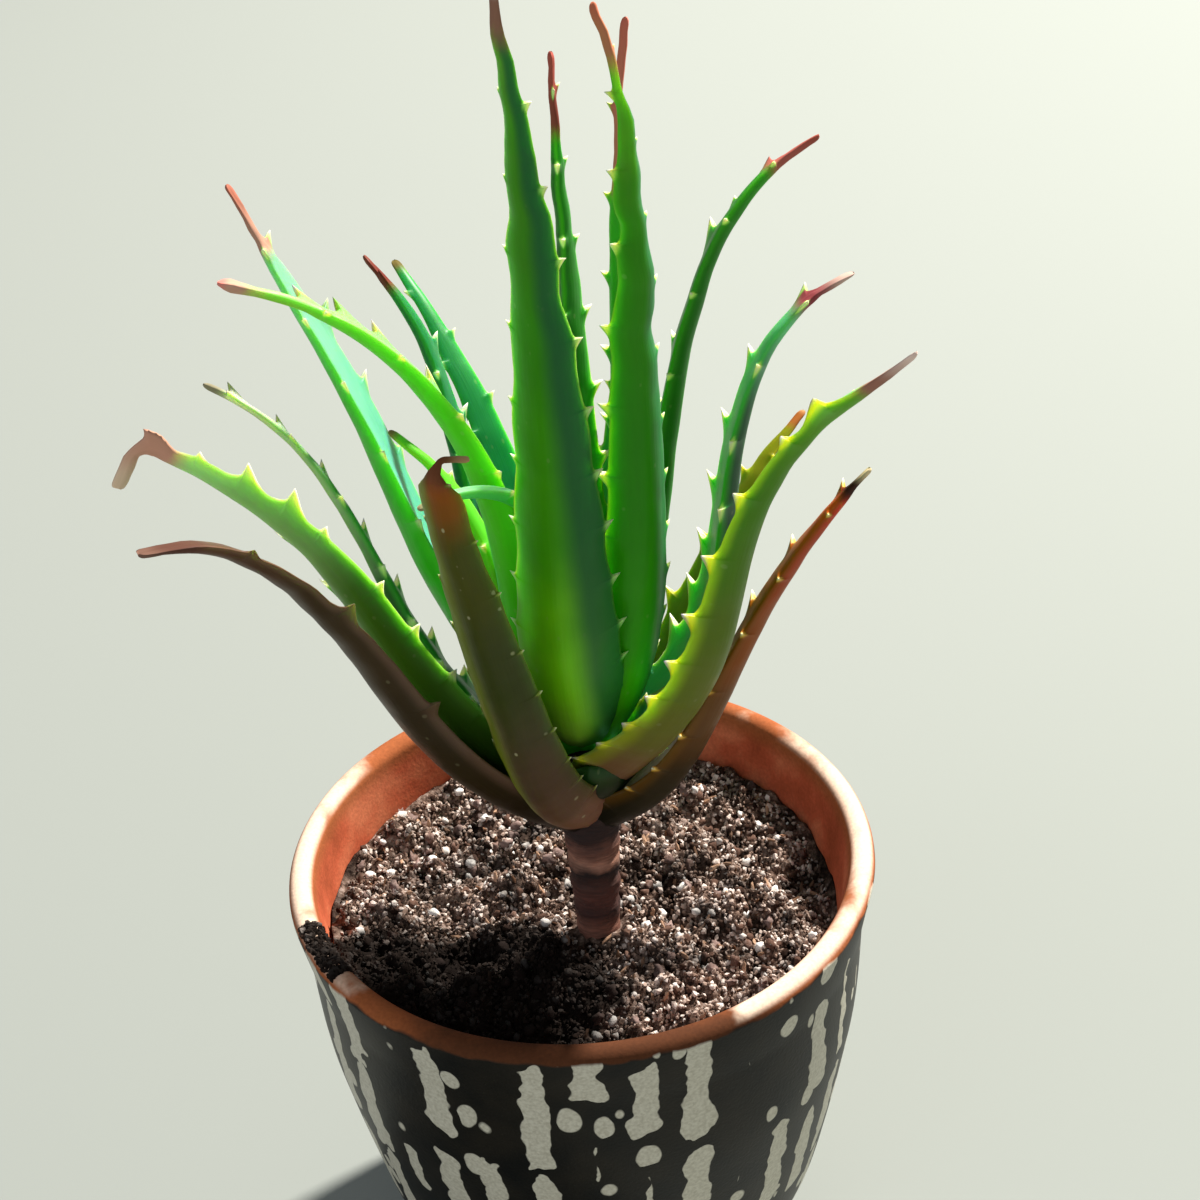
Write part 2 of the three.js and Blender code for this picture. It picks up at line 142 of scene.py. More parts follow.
LEAVES = [
    leaf(151, (213, 213, 213), (36, 52, 66, 54, 27), 164, 20, 0.62, (6, 12, 14), 0.7, 2.0, -26,
         "brown", ("#1e160e", "#30240f", "#3c2c14", "#5e3a26"), ("#40301e", "#56382a"),
         (0.93, "#5a382c", "#765648"), margin="#80604c", thorn="#4a3220", thorns=(0, 0),
         spines=((0.47, -1, 3.4, 0.0), (0.69, -1, 4.6, 0.0), (0.86, -1, 3.0, 0.0)), tip=4.2,
         blunt=0.15, gnarl=0.7),
    # The near-black first outer colours at this leaf's base are painted shade.
    leaf(152, (336, 347, 346), (27, 60, 67, 60, 52), 128, 16, 1.5, (-12, -4, 4), 1.0, 1.7, 0,
         "russet", ("#0f1209", "#241f08", "#643c04", "#904800", "#a83a04", "#dc2808"),
         ("#1c2c10", "#4a3a10", "#a0580c", "#d05410"),
         (0.93, "#3a1c10", "#e0cc9c"), margin="#7a5210", thorn="#e8b44a", thorns=(1.0, 0.4),
         wither=0.93),
    leaf(154, (243, 239, 238), (30, 66, 73, 76, 84), 158, 18, 1.25, (8, 5, 0), 1.0, 2.2, 125,
         "olive", ("#8a6048", "#503e2a", "#343c06", "#464802", "#b44808"), ("#4a4a1c", "#5a4a14"),
         (0.89, "#744428", "#c8a074"), flank=("#6e7c06", 1), freckles=1.0,
         margin="#3c440c", thorn="#8a9440", thorns=(0.25, 0.3), tip=1.5, wither=0.87,
         snap=(0.885, 0.93), blunt=0.35),
    leaf(162, (321, 325, 328), (44, 57, 76.5, 57.5, 30), 167, 22, 0.62, (6, -3, -12), 1.15, 1.4, 15,
         "lime", ("#7c503c", "#5f6c14", "#4a7c0a", "#64941c"), ("#6ccf98", "#4fae4a", "#8ad07a"),
         (0.9, "#9a6a58", "#e6cabc"), flank=("#33562a", -1), spines=((0.86, 1, 7.5, 0.6),),
         margin="#b8cc14", thorn="#e2ec2c", thorns=(0.35, 1.2), tip=3.4,
         wither=0.9),
    leaf(156, (194, 194, 191), (40, 56, 67, 49, 32), 164, 18.5, 0.62, (14, 52, 50), 0.9, 1.3, -97,
         "green", ("#5c8440", "#4c7c1c", "#487414", "#8cac68", "#c0d4a8"), ("#7ac890", "#62b83a"),
         (0.885, "#d09a80", "#e8ccac"),
         spines=((0.925, -1, 4.0, 0.0), (0.8, -1, 5.0, 0.8), (0.73, -1, 5.0, 0.7)),
         margin="#7cb838", thorn="#d0e8a0", thorns=(0.65, 1.1), tip=5.4,
         wither=0.88, snap=(0.915, 0.955)),
    leaf(160, (38, 38, 38), (34, 48, 54, 46, 24), 107, 12, 0.4, (0, 0, 0), 1.0, 1.6, 0,
         "olive", ("#56660a", "#7a7a08", "#746a08"), ("#667810", "#84800e"),
         (0.95, "#a45c20", "#c08c5a"), margin="#b0a814", thorn="#e8e040", thorns=(0.9, 0.4)),
    leaf(160, (168, 169, 170), (34, 53, 70, 62, 28), 141, 12, 0.4, (12, 22, 28), 1.0, 0.6, 0,
         "dark", ("#0f4a18", "#0f4010", "#24541c", "#94ac80", "#c0c8ac"),
         ("#1c6c34", "#2c7c34", "#4c9450", "#b4c4a0"),
         (0.965, "#8c8468", "#b8b09c"), spines=((0.95, 1, 5.0, 0.2), (0.86, 1, 4.0, 0.6)),
         margin="#4a9a3c", thorn="#b8dc80", thorns=(0.9, 1.3), tip=1.6,
         wither=0.93),
    leaf(161, (160, 160, 160), (52, 76, 82, 64, 34), 107, 11, 0.4, (0, 0, 0), 1.0, 1.6, 0,
         "lime", ("#2c8a08", "#5cc00a", "#7acc14"), ("#3aa41e", "#66c832"),
         (0.98, "#7a7024", "#8a7c44"), margin="#8ad42c", thorn="#d8f47c", thorns=(0.6, 0.6)),
    leaf(163, (154, 150, 146), (55, 55, 71, 61, 60), 167, 26, 0.4, (40, 32, 18), 0.95, 1.5, 0,
         "green", ("#30bc06", "#34bc08", "#40b020", "#8ad4a0"), ("#2c9c74", "#48ac86", "#86bc94"),
         (0.89, "#b88a74", "#a86450"), margin="#5ccc30", thorn="#d4f8a0", thorns=(0.8, 1.1),
         wither=0.87, spines=((0.78, 1, 5.5, 0.3),)),
    # The pale cyan first outer colour of this leaf is a painted highlight.
    leaf(164, (12, 12, 12), (31, 62, 83, 70, 24), 149, 17, 0.4, (-8, -10, -12), 1.0, 1.7, -10,
         "dark", ("#54b48c", "#0f4424", "#0f4c24", "#74cc9c"), ("#6ccca0", "#2ca414", "#66c088"),
         (0.9, "#8c3c40", "#c8a89a"), margin="#46b82c", thorn="#d8f48c", thorns=(1.2, 1.0),
         tip=3.0, wither=0.94),
    leaf(166, (224, 222, 219), (63, 95, 88, 44, 0), 118, 13, 0.4, (0, 6, 10), 1.0, 1.6, 0,
         "green", ("#2cbc14", "#3cc42c", "#66dc78"), ("#56d04c", "#8ae498"),
         (0.985, "#8a9650", "#a89c70"), margin="#6ad840", thorn="#d8f8a0", thorns=(0.5, 0.5)),
    leaf(165, (195, 194, 193), (60, 86, 77, 52, 21), 172, 22, 0.4, (0, 8, 10), 1.0, 1.6, 0,
         "lime", ("#3cb806", "#50cc08", "#58cc14", "#84bc48"), ("#74e4a4", "#5cd852", "#94dc74"),
         (0.955, "#cc9c84", "#dc8478"), spines=((0.83, 1, 5.0, 0.0),),
         margin="#74dc2c", thorn="#e0f87c", thorns=(0.5, 1.7), tip=2.6,
         wither=0.84, paddle=3.0),
    leaf(166, (62, 62, 62), (20, 35, 54, 70, 81), 77, 12, 0.4, (0, 0, 0), 1.0, 1.6, 0,
         "dark", ("#1c6a16", "#2c9408", "#3a9c22"), ("#2c8c22", "#3a9c34"),
         (0.86, "#7a6854", "#a89c88"), margin="#66c81e", thorn="#e0f4a8", thorns=(0.7, 0.7)),
    leaf(166, (138, 141, 144), (52, 67, 79, 76, 37), 139, 15, 0.4, (10, 22, 30), 1.0, 1.5, 0,
         "dark", ("#0c4a20", "#064818", "#0c581c", "#18642a"), ("#1c7c50", "#127044", "#1c7c3c"),
         (0.93, "#6c2818", "#7c4030"), spines=((0.95, -1, 3.5, 0.0),),
         margin="#36a03c", thorn="#b0e098", thorns=(0.6, 1.1), wither=0.92),
    leaf(167, (122, 122, 122), (70, 71, 66, 47, 28), 134, 15, 0.4, (0, 0, 0), 1.0, 1.6, 0,
         "dark", ("#0c4a22", "#085a24", "#147028"), ("#1c8c50", "#147c3c", "#1c8440"),
         (0.97, "#6a5c28", "#80704c"), margin="#36a03c", thorn="#b0e098", thorns=(0.6, 0.6)),
    leaf(169, (74, 74, 74), (36, 48, 58, 68, 77), 114, 12, 0.4, (0, 0, 0), 1.0, 1.6, 0,
         "dark", ("#1a6c16", "#1c7c06", "#3c9418"), ("#1c7c24", "#2c9428"),
         (0.98, "#807c48", "#a0986a"), margin="#56b41e", thorn="#d8f48c", thorns=(0.6, 0.6)),
    leaf(170, (32, 32, 30), (56, 73, 78, 61, 10), 166, 17, 0.4, (-40, -40, -38), 1.0, 1.5, 0,
         "dark", ("#1c7c1c", "#1c7c08", "#1c7004", "#348c18"), ("#1c8c28", "#1c7c12", "#3a8c28"),
         (0.915, "#b05c50", "#a44c3c"), spines=((0.925, -1, 5.0, 0.0), (0.8, -1, 6.0, 0.9)),
         margin="#46a81c", thorn="#d4f480", thorns=(1.0, 0.4), tip=3.4,
         wither=0.9),
    leaf(172, (46, 50, 56), (54, 81, 88, 86, 74), 180, 10, 0.4, (0, -8, -16), 1.0, 1.2, 0,
         "green", ("#1c7c0a", "#1c7c0a", "#2c7c18"), ("#2c8c18", "#3a8c22"),
         (0.8, "#c47460", "#c86c58"), margin="#56b41e", thorn="#c8e060", thorns=(0.7, 0.7),
         wither=0.78),
    leaf(173, (318, 314, 308), (56, 80, 89, 89, 113), 196, 20, 0.4, (-30, -14, 0), 1.0, 1.5, 0,
         "green", ("#5cbc08", "#349402", "#2c8402", "#348404", "#74a028"), ("#2f9a3a", "#3a9a3a"),
         (0.94, "#c07c58", "#c87050"), flank=("#1c7438", -1),
         margin="#46b024", thorn="#d8f470", thorns=(0.45, 0.7), wither=0.87, tip=2.0,
         gnarl=1.5),
    # This leaf's bright yellow-green outer colours low on the blade are painted glow of light shining
    # through it.
    leaf(177, (264, 254, 238), (45, 86, 87, 86, 80), 206, 26, 1.3, (4, -4, -10), 0.72, 1.4, 0,
         "green", ("#7ca434", "#7cd00c", "#46a002", "#348802", "#3c7c06", "#5a7830"),
         ("#3c9838", "#3c9030"),
         (0.945, "#8c6450", "#e8e0cc"), flank=("#1a5a30", -1),
         margin="#4c9c1c", thorn="#b8e488", thorns=(0.55, 0.4), gnarl=0.8, bare=26),
    leaf(174, (72, 86, 92), (68, 83, 87, 87, 86), 170, 12, 0.4, (0, 45, 75), 1.0, 1.7, 0,
         "dark", ("#46b40a", "#2c8406", "#145804", "#1f5c18"), ("#2c8c18", "#1c6c12"),
         (0.9, "#8c4438", "#b05448"), margin="#56b41e", thorn="#e0f49c", thorns=(0.7, 0.7),
         wither=0.85, gnarl=0.9),
]

# A short scale that wraps the stem between the leaves' feet. The frame leaves it to this script.
SCALE_NUMBER = 40
CROWN_SCALE = leaf(
    164, (270, 274, 278), (0, 52, 84), 21, 27, 1.0, (0, 0, 0), 0.8, 4.0, 0,
    "green", ("#0c160c", "#14240f", "#244c1c"), ("#1c3c1c", "#2c5c30"),
    (2.0, "#6a5438", "#8a7454"), margin="#3c6c2c", thorn="#a8c87c", thorns=(0.8, 0.8),
    bare=5, gnarl=0)

# ------------------------------------------------------------------ small tools


def colour(text):
    """An sRGB hex colour as the linear colour that shaders take."""
    channels = []
    for i in (1, 3, 5):
        value = int(text[i:i + 2], 16) / 255
        if value <= 0.04045:
            channels.append(value / 12.92)
        else:
            channels.append(((value + 0.055) / 1.055) ** 2.4)
    return (*channels, 1.0)


def add_node(tree, kind, inputs=None, **settings):
    """A new node with its settings, and its inputs set to values or linked to sockets. A node
    given as an input stands for its first output in use. Inputs go by name or number: in Map
    Range, 1 and 2 are the span that the value comes from, and 3 and 4 the span it goes to,
    which is 0 to 1 if not given, and in Mix, 0 is the share of 7 over 6."""
    node = tree.nodes.new(kind)
    for name, value in settings.items():
        setattr(node, name, value)
    for key, value in (inputs or {}).items():
        if isinstance(value, bpy.types.Node):
            value = next(socket for socket in value.outputs if socket.enabled)
        if isinstance(value, bpy.types.NodeSocket):
            tree.links.new(value, node.inputs[key])
        else:
            node.inputs[key].default_value = value
    return node


def paint_stops(ramp, stops):
    """Sets a colour ramp's stops from pairs of place and colour, and gives the ramp back."""
    elements = ramp.color_ramp.elements
    while len(elements) > 1:
        elements.remove(elements[-1])
    elements[0].position = stops[0][0]
    elements[0].color = colour(stops[0][1])
    for place, paint in stops[1:]:
        element = elements.new(place)
        element.color = colour(paint)
    return ramp


def new_material(name):
    material = bpy.data.materials.new(name)
    material.use_nodes = True
    material.node_tree.nodes.clear()
    return material, material.node_tree


def finish_surface(tree, values):
    """The surface's shader with its values, joined to the material's output."""
    surface = add_node(tree, "ShaderNodeBsdfPrincipled", values)
    add_node(tree, "ShaderNodeOutputMaterial", {"Surface": surface})


def along(values, share):
    """Smooth value at a share from 0 to 1 along a few equally spaced values."""
    last = len(values) - 1
    place = min(share * last, last - 1e-9)
    i = math.floor(place)
    f = place - i
    a = values[max(i - 1, 0)]
    b = values[i]
    c = values[i + 1]
    d = values[min(i + 2, last)]
    return b + 0.5 * f * (c - a + f * (2 * a - 5 * b + 4 * c - d + f * (3 * (b - c) + d - a)))


def seeded_random(seed):
    """The same stream of numbers from 0 to 1 that places the teeth of the frame's leaves."""
    state = seed
    while True:
        state = (state * 1664525 + 1013904223) % 4294967296
        yield state / 4294967296


def slope(start, end, value):
    """0 before start, 1 after end, and straight between them."""
    return min(1.0, max(0.0, (value - start) / (end - start)))


def bump_at(x, y, z, size):
    """Smooth noise from -1 to 1 with features of about the given size."""
    return noise.noise(Vector((x / size, y / size, z / size)))


def radius_along(profile, height):
    """The radius at a height on a profile that runs upwards."""
    heights = [h for _, h in profile]
    radii = [r for r, _ in profile]
    return float(np.interp(height, heights, radii))


def circle(radius, sides):
    """Evenly spaced x and y pairs round the axis."""
    angles = [2 * math.pi * k / sides for k in range(sides)]
    return [(radius * math.cos(angle), radius * math.sin(angle)) for angle in angles]


def put_in_scene(name, data):
    thing = bpy.data.objects.new(name, data)
    bpy.context.scene.collection.objects.link(thing)
    return thing


def mesh_object(name, points_mm, faces, material):
    mesh = bpy.data.meshes.new(name)
    mesh.from_pydata([Vector(p) * MM for p in points_mm], [], faces)
    mesh.update()
    mesh.shade_smooth()
    mesh.materials.append(material)
    return put_in_scene(name, mesh)


def store(mesh, name, vectors):
    """Stores one vector for each point of a mesh."""
    attribute = mesh.attributes.new(name, "FLOAT_VECTOR", "POINT")
    attribute.data.foreach_set("vector", np.asarray(vectors, dtype=np.float32).ravel())


def hand_over(piece, slot, *nodes):
    """Gives a finished piece its body, and hides the frame's nodes that it replaces.
    The slot is not used.
    """
    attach(piece, "root")
    if nodes:
        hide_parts(*nodes)


def loft_faces(rings, count, closed=True):
    """Quads between rings of equal length, with a fan at each end of a closed form."""
    faces = []
    for i in range(rings - 1):
        for k in range(count):
            a = i * count + k
            b = i * count + (k + 1) % count
            faces.append((a, b, b + count, a + count))
    if closed:
        start = (rings - 1) * count
        faces.append(tuple(reversed(range(count))))
        faces.append(tuple(range(start, start + count)))
    return faces


# ------------------------------------------------------------------ camera, floor and light

CAMERA_AT = Vector((0.0, -495.44, 539.86))
CAMERA_DOWN = math.radians(33.94)
CAMERA_YAW = math.radians(1.098)
CAMERA_ROLL = math.radians(4.0)
LENS = 75
SENSOR = 36
FLOOR_REACH = 9000
# Name, place and width in metres, power in watts, and tint of each lamp.
LAMPS = [
    ("key_light", (1.42, 1.45, 2.4), 0.22, 250, "#fffaf2"),
    ("fill_light", (-0.9, -0.9, 0.8), 1.2, 4.5, "#eef4ff"),
    ("front_light", (0.5, -1.2, 0.5), 1.0, 1.2, "#ffffff"),
]
LAMPS_AIM = Vector((0, 0, 0.2))
AIR_TINT = "#e8eef2"
AIR_STRENGTH = 0.28


def make_camera():
    ahead = Vector((
        math.sin(CAMERA_YAW) * math.cos(CAMERA_DOWN),
        math.cos(CAMERA_YAW) * math.cos(CAMERA_DOWN),
        -math.sin(CAMERA_DOWN),
    ))
    right = Vector((math.cos(CAMERA_YAW), -math.sin(CAMERA_YAW), 0))
    up = right.cross(ahead)
    tilted_right = right * math.cos(CAMERA_ROLL) - up * math.sin(CAMERA_ROLL)
    tilted_up = right * math.sin(CAMERA_ROLL) + up * math.cos(CAMERA_ROLL)
    data = bpy.data.cameras.new("camera")
    data.lens = LENS
    data.sensor_width = SENSOR
    data.clip_start = 0.01
    data.clip_end = 50
    camera = put_in_scene("camera", data)
    turn = Matrix((tilted_right, tilted_up, -ahead)).transposed()
    camera.matrix_world = Matrix.Translation(CAMERA_AT * MM) @ turn.to_4x4()
    bpy.context.scene.camera = camera


def make_lamp(name, place, width, power, tint):
    data = bpy.data.lights.new(name, "AREA")
    data.shape = "DISK"
    data.size = width
    data.energy = power
    data.color = colour(tint)[:3]
    lamp = put_in_scene(name, data)
    lamp.location = place
    lamp.rotation_euler = (LAMPS_AIM - Vector(place)).to_track_quat("-Z", "Y").to_euler()


def make_studio():
    floor_material, tree = new_material("pale_studio_floor")
    finish_surface(tree, {"Base Color": colour("#8f948f"), "Roughness": 0.9})
    corners = [(x * FLOOR_REACH, y * FLOOR_REACH, 0) for x, y in ((-1, -1), (1, -1), (1, 1), (-1, 1))]
    mesh_object("studio_floor", corners, [(0, 1, 2, 3)], floor_material)
    for lamp in LAMPS:
        make_lamp(*lamp)
    world = bpy.data.worlds.new("studio_air")
    world.use_nodes = True
    background = world.node_tree.nodes["Background"]
    background.inputs["Color"].default_value = colour(AIR_TINT)
    background.inputs["Strength"].default_value = AIR_STRENGTH
    bpy.context.scene.world = world
    bpy.context.scene.view_settings.view_transform = "Standard"


# ------------------------------------------------------------------ leaf forms

SKIN_SHARE = 0.95       # thickness of the finished blade as a share of the frame's
TIP_THICK = 1.4
SHEATH_END = 0.12       # share of the length where the clasping base has its blade's width
PADDLE_AT = 0.982
PADDLE_REACH = 0.016
TOOTH_LEAST = 0.75      # the smallest teeth as a share of the largest
SPINE_ROOM = 0.9        # a spine clears the teeth that stand within this share of its size


def leaf_line(spec):
    """The leaf's line in steps: points and the forward, face and side directions."""
    step = spec["length"] / LINE_STEPS
    point = Vector((STEM_X, STEM_Y, spec["seat"]))
    rows = []
    for i in range(LINE_STEPS + 1):
        share = i / LINE_STEPS
        bend = spec["hook"] * slope(*spec["snap"], share)
        rise = math.radians(along(spec["rise"], share) + bend)
        turn = math.radians(along(spec["turn"], share))
        outward = Vector((math.cos(turn), math.sin(turn), 0))
        if i == 0:
            point += outward * BASE_OFFSET
        forward = outward * math.cos(rise) + Vector((0, 0, math.sin(rise)))
        face = outward * -math.sin(rise) + Vector((0, 0, math.cos(rise)))
        face.rotate(Matrix.Rotation(math.radians(along(spec["roll"], share)), 3, forward))
        side = forward.cross(face)
        rows.append((*point, *forward, *face, *side))
        point += forward * step
    return np.array(rows)


def paddle_swell(spec, share):
    """How much a dried tip swells just before its end."""
    return spec["paddle"] * math.exp(-(((share - PADDLE_AT) / PADDLE_REACH) ** 2))


def blade_width(spec, share):
    sheath = spec["clasp"] + (1 - spec["clasp"]) * min(share / SHEATH_END, 1) ** 0.7
    body = max(0.0, 1 - share ** spec["taper"]) ** 0.92
    body = spec["blunt"] + (1 - spec["blunt"]) * body
    body *= 1 - slope(spec["wither"], spec["wither"] + WITHER, share)
    dried = spec["tip"] * share + paddle_swell(spec, share)
    return math.hypot(spec["width"] * sheath * body, dried)


def blade_thickness(share):
    return BLADE_THICK * SKIN_SHARE * (1 - share) ** 0.75 + TIP_THICK


def leaf_teeth(spec, index):
    """Side, distance from the base, size and how living each tooth is, placed as in the frame.
    They are largest at two fifths of the leaf, and their spacing is uneven by an eighth."""
    draw = seeded_random(SEED + index)
    teeth = []
    for side in (-1, 1):
        distance = spec["bare"] + 4 * next(draw)
        while distance < spec["length"] * TOOTH_END:
            share = distance / spec["length"]
            size = TOOTH * (
                TOOTH_LEAST + (1 - TOOTH_LEAST) * math.sin(math.pi * min(1.3 * share, 1)))
            size *= spec["thorns"][side > 0]
            if size:
                teeth.append((side, distance, size, 1.0))
            spacing = TOOTH_STEP + TOOTH_SPREAD * min(1.8 * share, 1)
            distance += spacing * (0.88 + 0.24 * next(draw))
    return teeth


def teeth_and_spines(spec, index):
    """The leaf's teeth, with its own spines in the place of those they would touch."""
    teeth = leaf_teeth(spec, index)
    for share, side, size, living in spec["spines"]:
        place = share * spec["length"]
        room = SPINE_ROOM * size
        teeth = [t for t in teeth if t[0] != side or abs(t[1] - place) > room + t[2]]
        teeth.append((side, place, size, living))
    return teeth


# A tooth's outline in shares of its size: the place of the cut along the margin, and where the
# margin is drawn to, forwards and outwards. The back swells and the front is a hollow scoop.
TOOTH_OUTLINE = np.array([
    (-1.25, -1.25, 0.0), (-0.98, -0.96, 0.08), (-0.74, -0.68, 0.21), (-0.52, -0.38, 0.38),
    (-0.34, -0.1, 0.56), (-0.2, 0.14, 0.72), (-0.08, 0.34, 0.85), (0.0, 0.5, 0.93),
    (0.06, 0.35, 0.72), (0.14, 0.25, 0.52), (0.25, 0.22, 0.34), (0.4, 0.32, 0.19),
    (0.58, 0.54, 0.07), (0.8, 0.8, 0.0),
])
TOOTH_REACH = 0.93
# How far the rows of points next to the margin follow a tooth, how far in they lie in mm, and
# the most that this may be as a share of half the width.
ROW_FOLLOW = (1.0, 0.74, 0.36, 0.06)
ROW_DEPTH = (0.0, 0.4, 1.0, 1.9)
ROW_DEEPEST = (0.0, 0.13, 0.3, 0.52)
INNER_ROWS = 4
# Spacing of the rings in mm: between the teeth, the least anywhere, and back from the tip.
PLAIN_STEP = 2.6
FEWEST_STEPS = 28
CLOSEST = 0.2
TIP_START = 3.2
TIP_RINGS = (3.0, 1.6, 0.8, 0.35, 0.12, 0.0)


def margin_rows(half):
    """Across shares from the middle to the margin, and how far each row follows a tooth."""
    edges = [1 - min(depth / half, cap) for depth, cap in zip(ROW_DEPTH, ROW_DEEPEST)]
    inner = [edges[-1] * k / INNER_ROWS for k in range(INNER_ROWS)]
    return inner + edges[::-1], [0.0] * INNER_ROWS + list(ROW_FOLLOW[::-1])


def section_places(half):
    """Places round a section, over the upper face and back under the leaf: the share across,
    how far the point follows a tooth, and 1 for the upper face or -1 for the lower."""
    shares, follow = margin_rows(half)
    across = [-share for share in shares[:0:-1]] + shares
    pairs = list(zip(across, follow[:0:-1] + follow))
    return [(*pair, 1) for pair in pairs] + [(*pair, -1) for pair in pairs[-2:0:-1]]


def blade_stations(spec, teeth):
    """Distances along the leaf at which the blade gets a ring, close together at each tooth."""
    length = spec["length"]
    places = list(np.arange(0, length, min(PLAIN_STEP, length / FEWEST_STEPS)))
    for _, distance, size, _ in teeth:
        places += list(distance + size * TOOTH_OUTLINE[:, 0])
    tip = [length - d for d in TIP_RINGS]
    places = sorted(p for p in places if 0 <= p < length - TIP_START) + tip
    kept = [places[0]]
    for place in places[1:]:
        if place - kept[-1] > CLOSEST:
            kept.append(place)
    kept[-1] = length
    return kept


def tooth_pull(place, side, teeth):
    """How far the margin is drawn out at a place: outwards, forwards, and as a share."""
    cuts, ahead, out = TOOTH_OUTLINE.T
    for tooth_side, distance, size, living in teeth:
        offset = (place - distance) / size
        if tooth_side == side and cuts[0] < offset < cuts[-1]:
            share = float(np.interp(offset, cuts, out))
            forward = float(np.interp(offset, cuts, ahead)) - offset
            return share * size, forward * size, share / TOOTH_REACH * living
    return 0.0, 0.0, 0.0


# Waves along a blade: how far apart the leaves draw them, their layer, and their length in mm.
RIPPLE = (17.3, 0, 11)
SHRINKAGE = (5.1, 3, 2.2)
SIDE_KNOTS = (7.3, 0, 10)
FACE_KNOTS = (3.7, 9, 8)
DRY_BENDS = (2.9, 5, 4)
# Size and depth in mm of the wrinkles on a dried tip and of the soft swellings everywhere.
WRINKLE_SIZE = 3.2
WRINKLE_DEPTH = 0.35
SWELLING_SIZE = 9
SWELLING_DEPTH = 0.18
DRYING = 0.04           # share of the length in which the tip gets fully dry
KNOTTED = (0.5, 0.75)   # shares between which the knots come in
PADDLE_THICK = 0.3      # how much a swelling adds to the thickness, as a share of its width
SLIM = (0.3, 0.7)       # most half thickness of a slim part: at no width, and for each mm more
# Reach in mm of the rounding at the foot and at the tip, and the least share it leaves.
FOOT_ROUND = (3, 0.05)
TIP_ROUND = (1.6, 0.02)


def wave_at(place, index, wave):
    apart, layer, size = wave
    return bump_at(place, apart * index, layer, size)


def round_end(distance, reach, least):
    """Share of the full size at a distance from a rounded end."""
    return math.sqrt(max(least, 1 - (1 - slope(0, reach, distance)) ** 2))


def section_sizes(spec, index, place, dryness, knots):
    """Half width, half thickness and depth of the channel at a distance from the base."""
    share = place / spec["length"]
    half = blade_width(spec, share) / 2
    thick = min(blade_thickness(share) / 2, SLIM[0] + SLIM[1] * half)
    thick += PADDLE_THICK * paddle_swell(spec, share)
    cup = spec["cup"] * along(CUP, share) * half
    half *= 1 + (0.03 + 0.09 * share + 0.2 * knots) * wave_at(place, index, RIPPLE)
    thick *= 1 - 0.25 * dryness + 0.15 * dryness * wave_at(place, index, SHRINKAGE)
    tip_reach, least = TIP_ROUND
    tip = round_end(spec["length"] - place, tip_reach + PADDLE_THICK * spec["paddle"], least)
    return half * round_end(place, *FOOT_ROUND) * tip, thick * tip, cup


def leaf_ring(spec, index, place, row, teeth):
    """One ring of the blade: its points, and the two vectors of each that the skin reads."""
    centre, forward, face, side_way = (Vector(row[k:k + 3]) for k in (0, 3, 6, 9))
    share = place / spec["length"]
    dry_from = spec["dry"][0]
    dryness = slope(dry_from, dry_from + DRYING, share)
    knots = spec["gnarl"] * slope(*KNOTTED, share)
    half, thick, cup = section_sizes(spec, index, place, dryness, knots)
    for way, amount, wave in (
        (side_way, 1.3 * knots, SIDE_KNOTS),
        (face, 0.9 * knots, FACE_KNOTS),
        (side_way, 0.5 * dryness, DRY_BENDS),
    ):
        centre += way * (amount * wave_at(place, index, wave))
    pulls = {side: tooth_pull(place, side, teeth) for side in (-1, 1)}
    ring = []
    for across, follow, upper in section_places(half):
        side = -1 if across < 0 else 1
        out, ahead, strength = pulls[side]
        inward = 1 - across * across
        wrinkle = bump_at(across * half * 2.5, place, 9 * index + upper, WRINKLE_SIZE)
        wrinkle *= dryness * WRINKLE_DEPTH
        swelling = bump_at(across * half, place, 31 * index + 5 * upper, SWELLING_SIZE)
        swelling *= SWELLING_DEPTH
        height = cup * across * across + upper * (thick * inward ** 0.8 + swelling * inward)
        point = centre + side_way * (across * half + side * out * follow)
        point += face * (height + TOOTH_LIFT * out * follow + upper * wrinkle * inward)
        point += forward * (ahead * follow)
        inner_face = max(0.0, upper) if abs(across) < 1 else 0.5
        mark = (share, across, strength * follow ** 4)
        ring.append((point, mark, (across * half, place, inner_face)))
    return ring


def make_leaf(index, name, spec, *nodes):
    line = leaf_line(spec)
    steps = np.linspace(0, spec["length"], LINE_STEPS + 1)
    teeth = teeth_and_spines(spec, index)
    stations = blade_stations(spec, teeth)
    rings = []
    for place in stations:
        row = np.array([np.interp(place, steps, column) for column in line.T])
        rings += leaf_ring(spec, index, place, row, teeth)
    points, marks, places = zip(*rings)
    faces = loft_faces(len(stations), len(points) // len(stations))
    piece = mesh_object(name, points, faces, aloe_skin(index, spec))
    store(piece.data, "leaf_marks", marks)
    store(piece.data, "leaf_place", places)
    hand_over(piece, spec["slot"], *nodes)


# ------------------------------------------------------------------ leaf skin

# Sizes of the skin's patterns in mm, across and along the leaf.
PATCH = 14
STREAK = (0.9, 20)
FRECKLE_GRID = (3.4, 6.0)
SCAR_GRID = (6.0, 9.0)
DRAWN_APART = 31.0
# How much of the flesh light soaks through: on the old brown and russet leaves, and on others.
OLD_FLESH = 0.12
CLEAR_FLESH = 0.55


def even_places(paints):
    """Even places from 0 to 1 for a row of colours."""
    return [(i / (len(paints) - 1), paint) for i, paint in enumerate(paints)]


def face_paint(tree, spec, drift, inner_face):
    """The colours of the outer and the inner face, from the base to the tip."""
    faces = []
    for name in ("outer", "inner"):
        ramp = add_node(tree, "ShaderNodeValToRGB", {0: drift})
        ramp.color_ramp.interpolation = "EASE"
        faces.append(paint_stops(ramp, even_places(spec[name])))
    return add_node(tree, "ShaderNodeMix", {
        0: inner_face, 6: faces[0], 7: faces[1]}, data_type="RGBA")


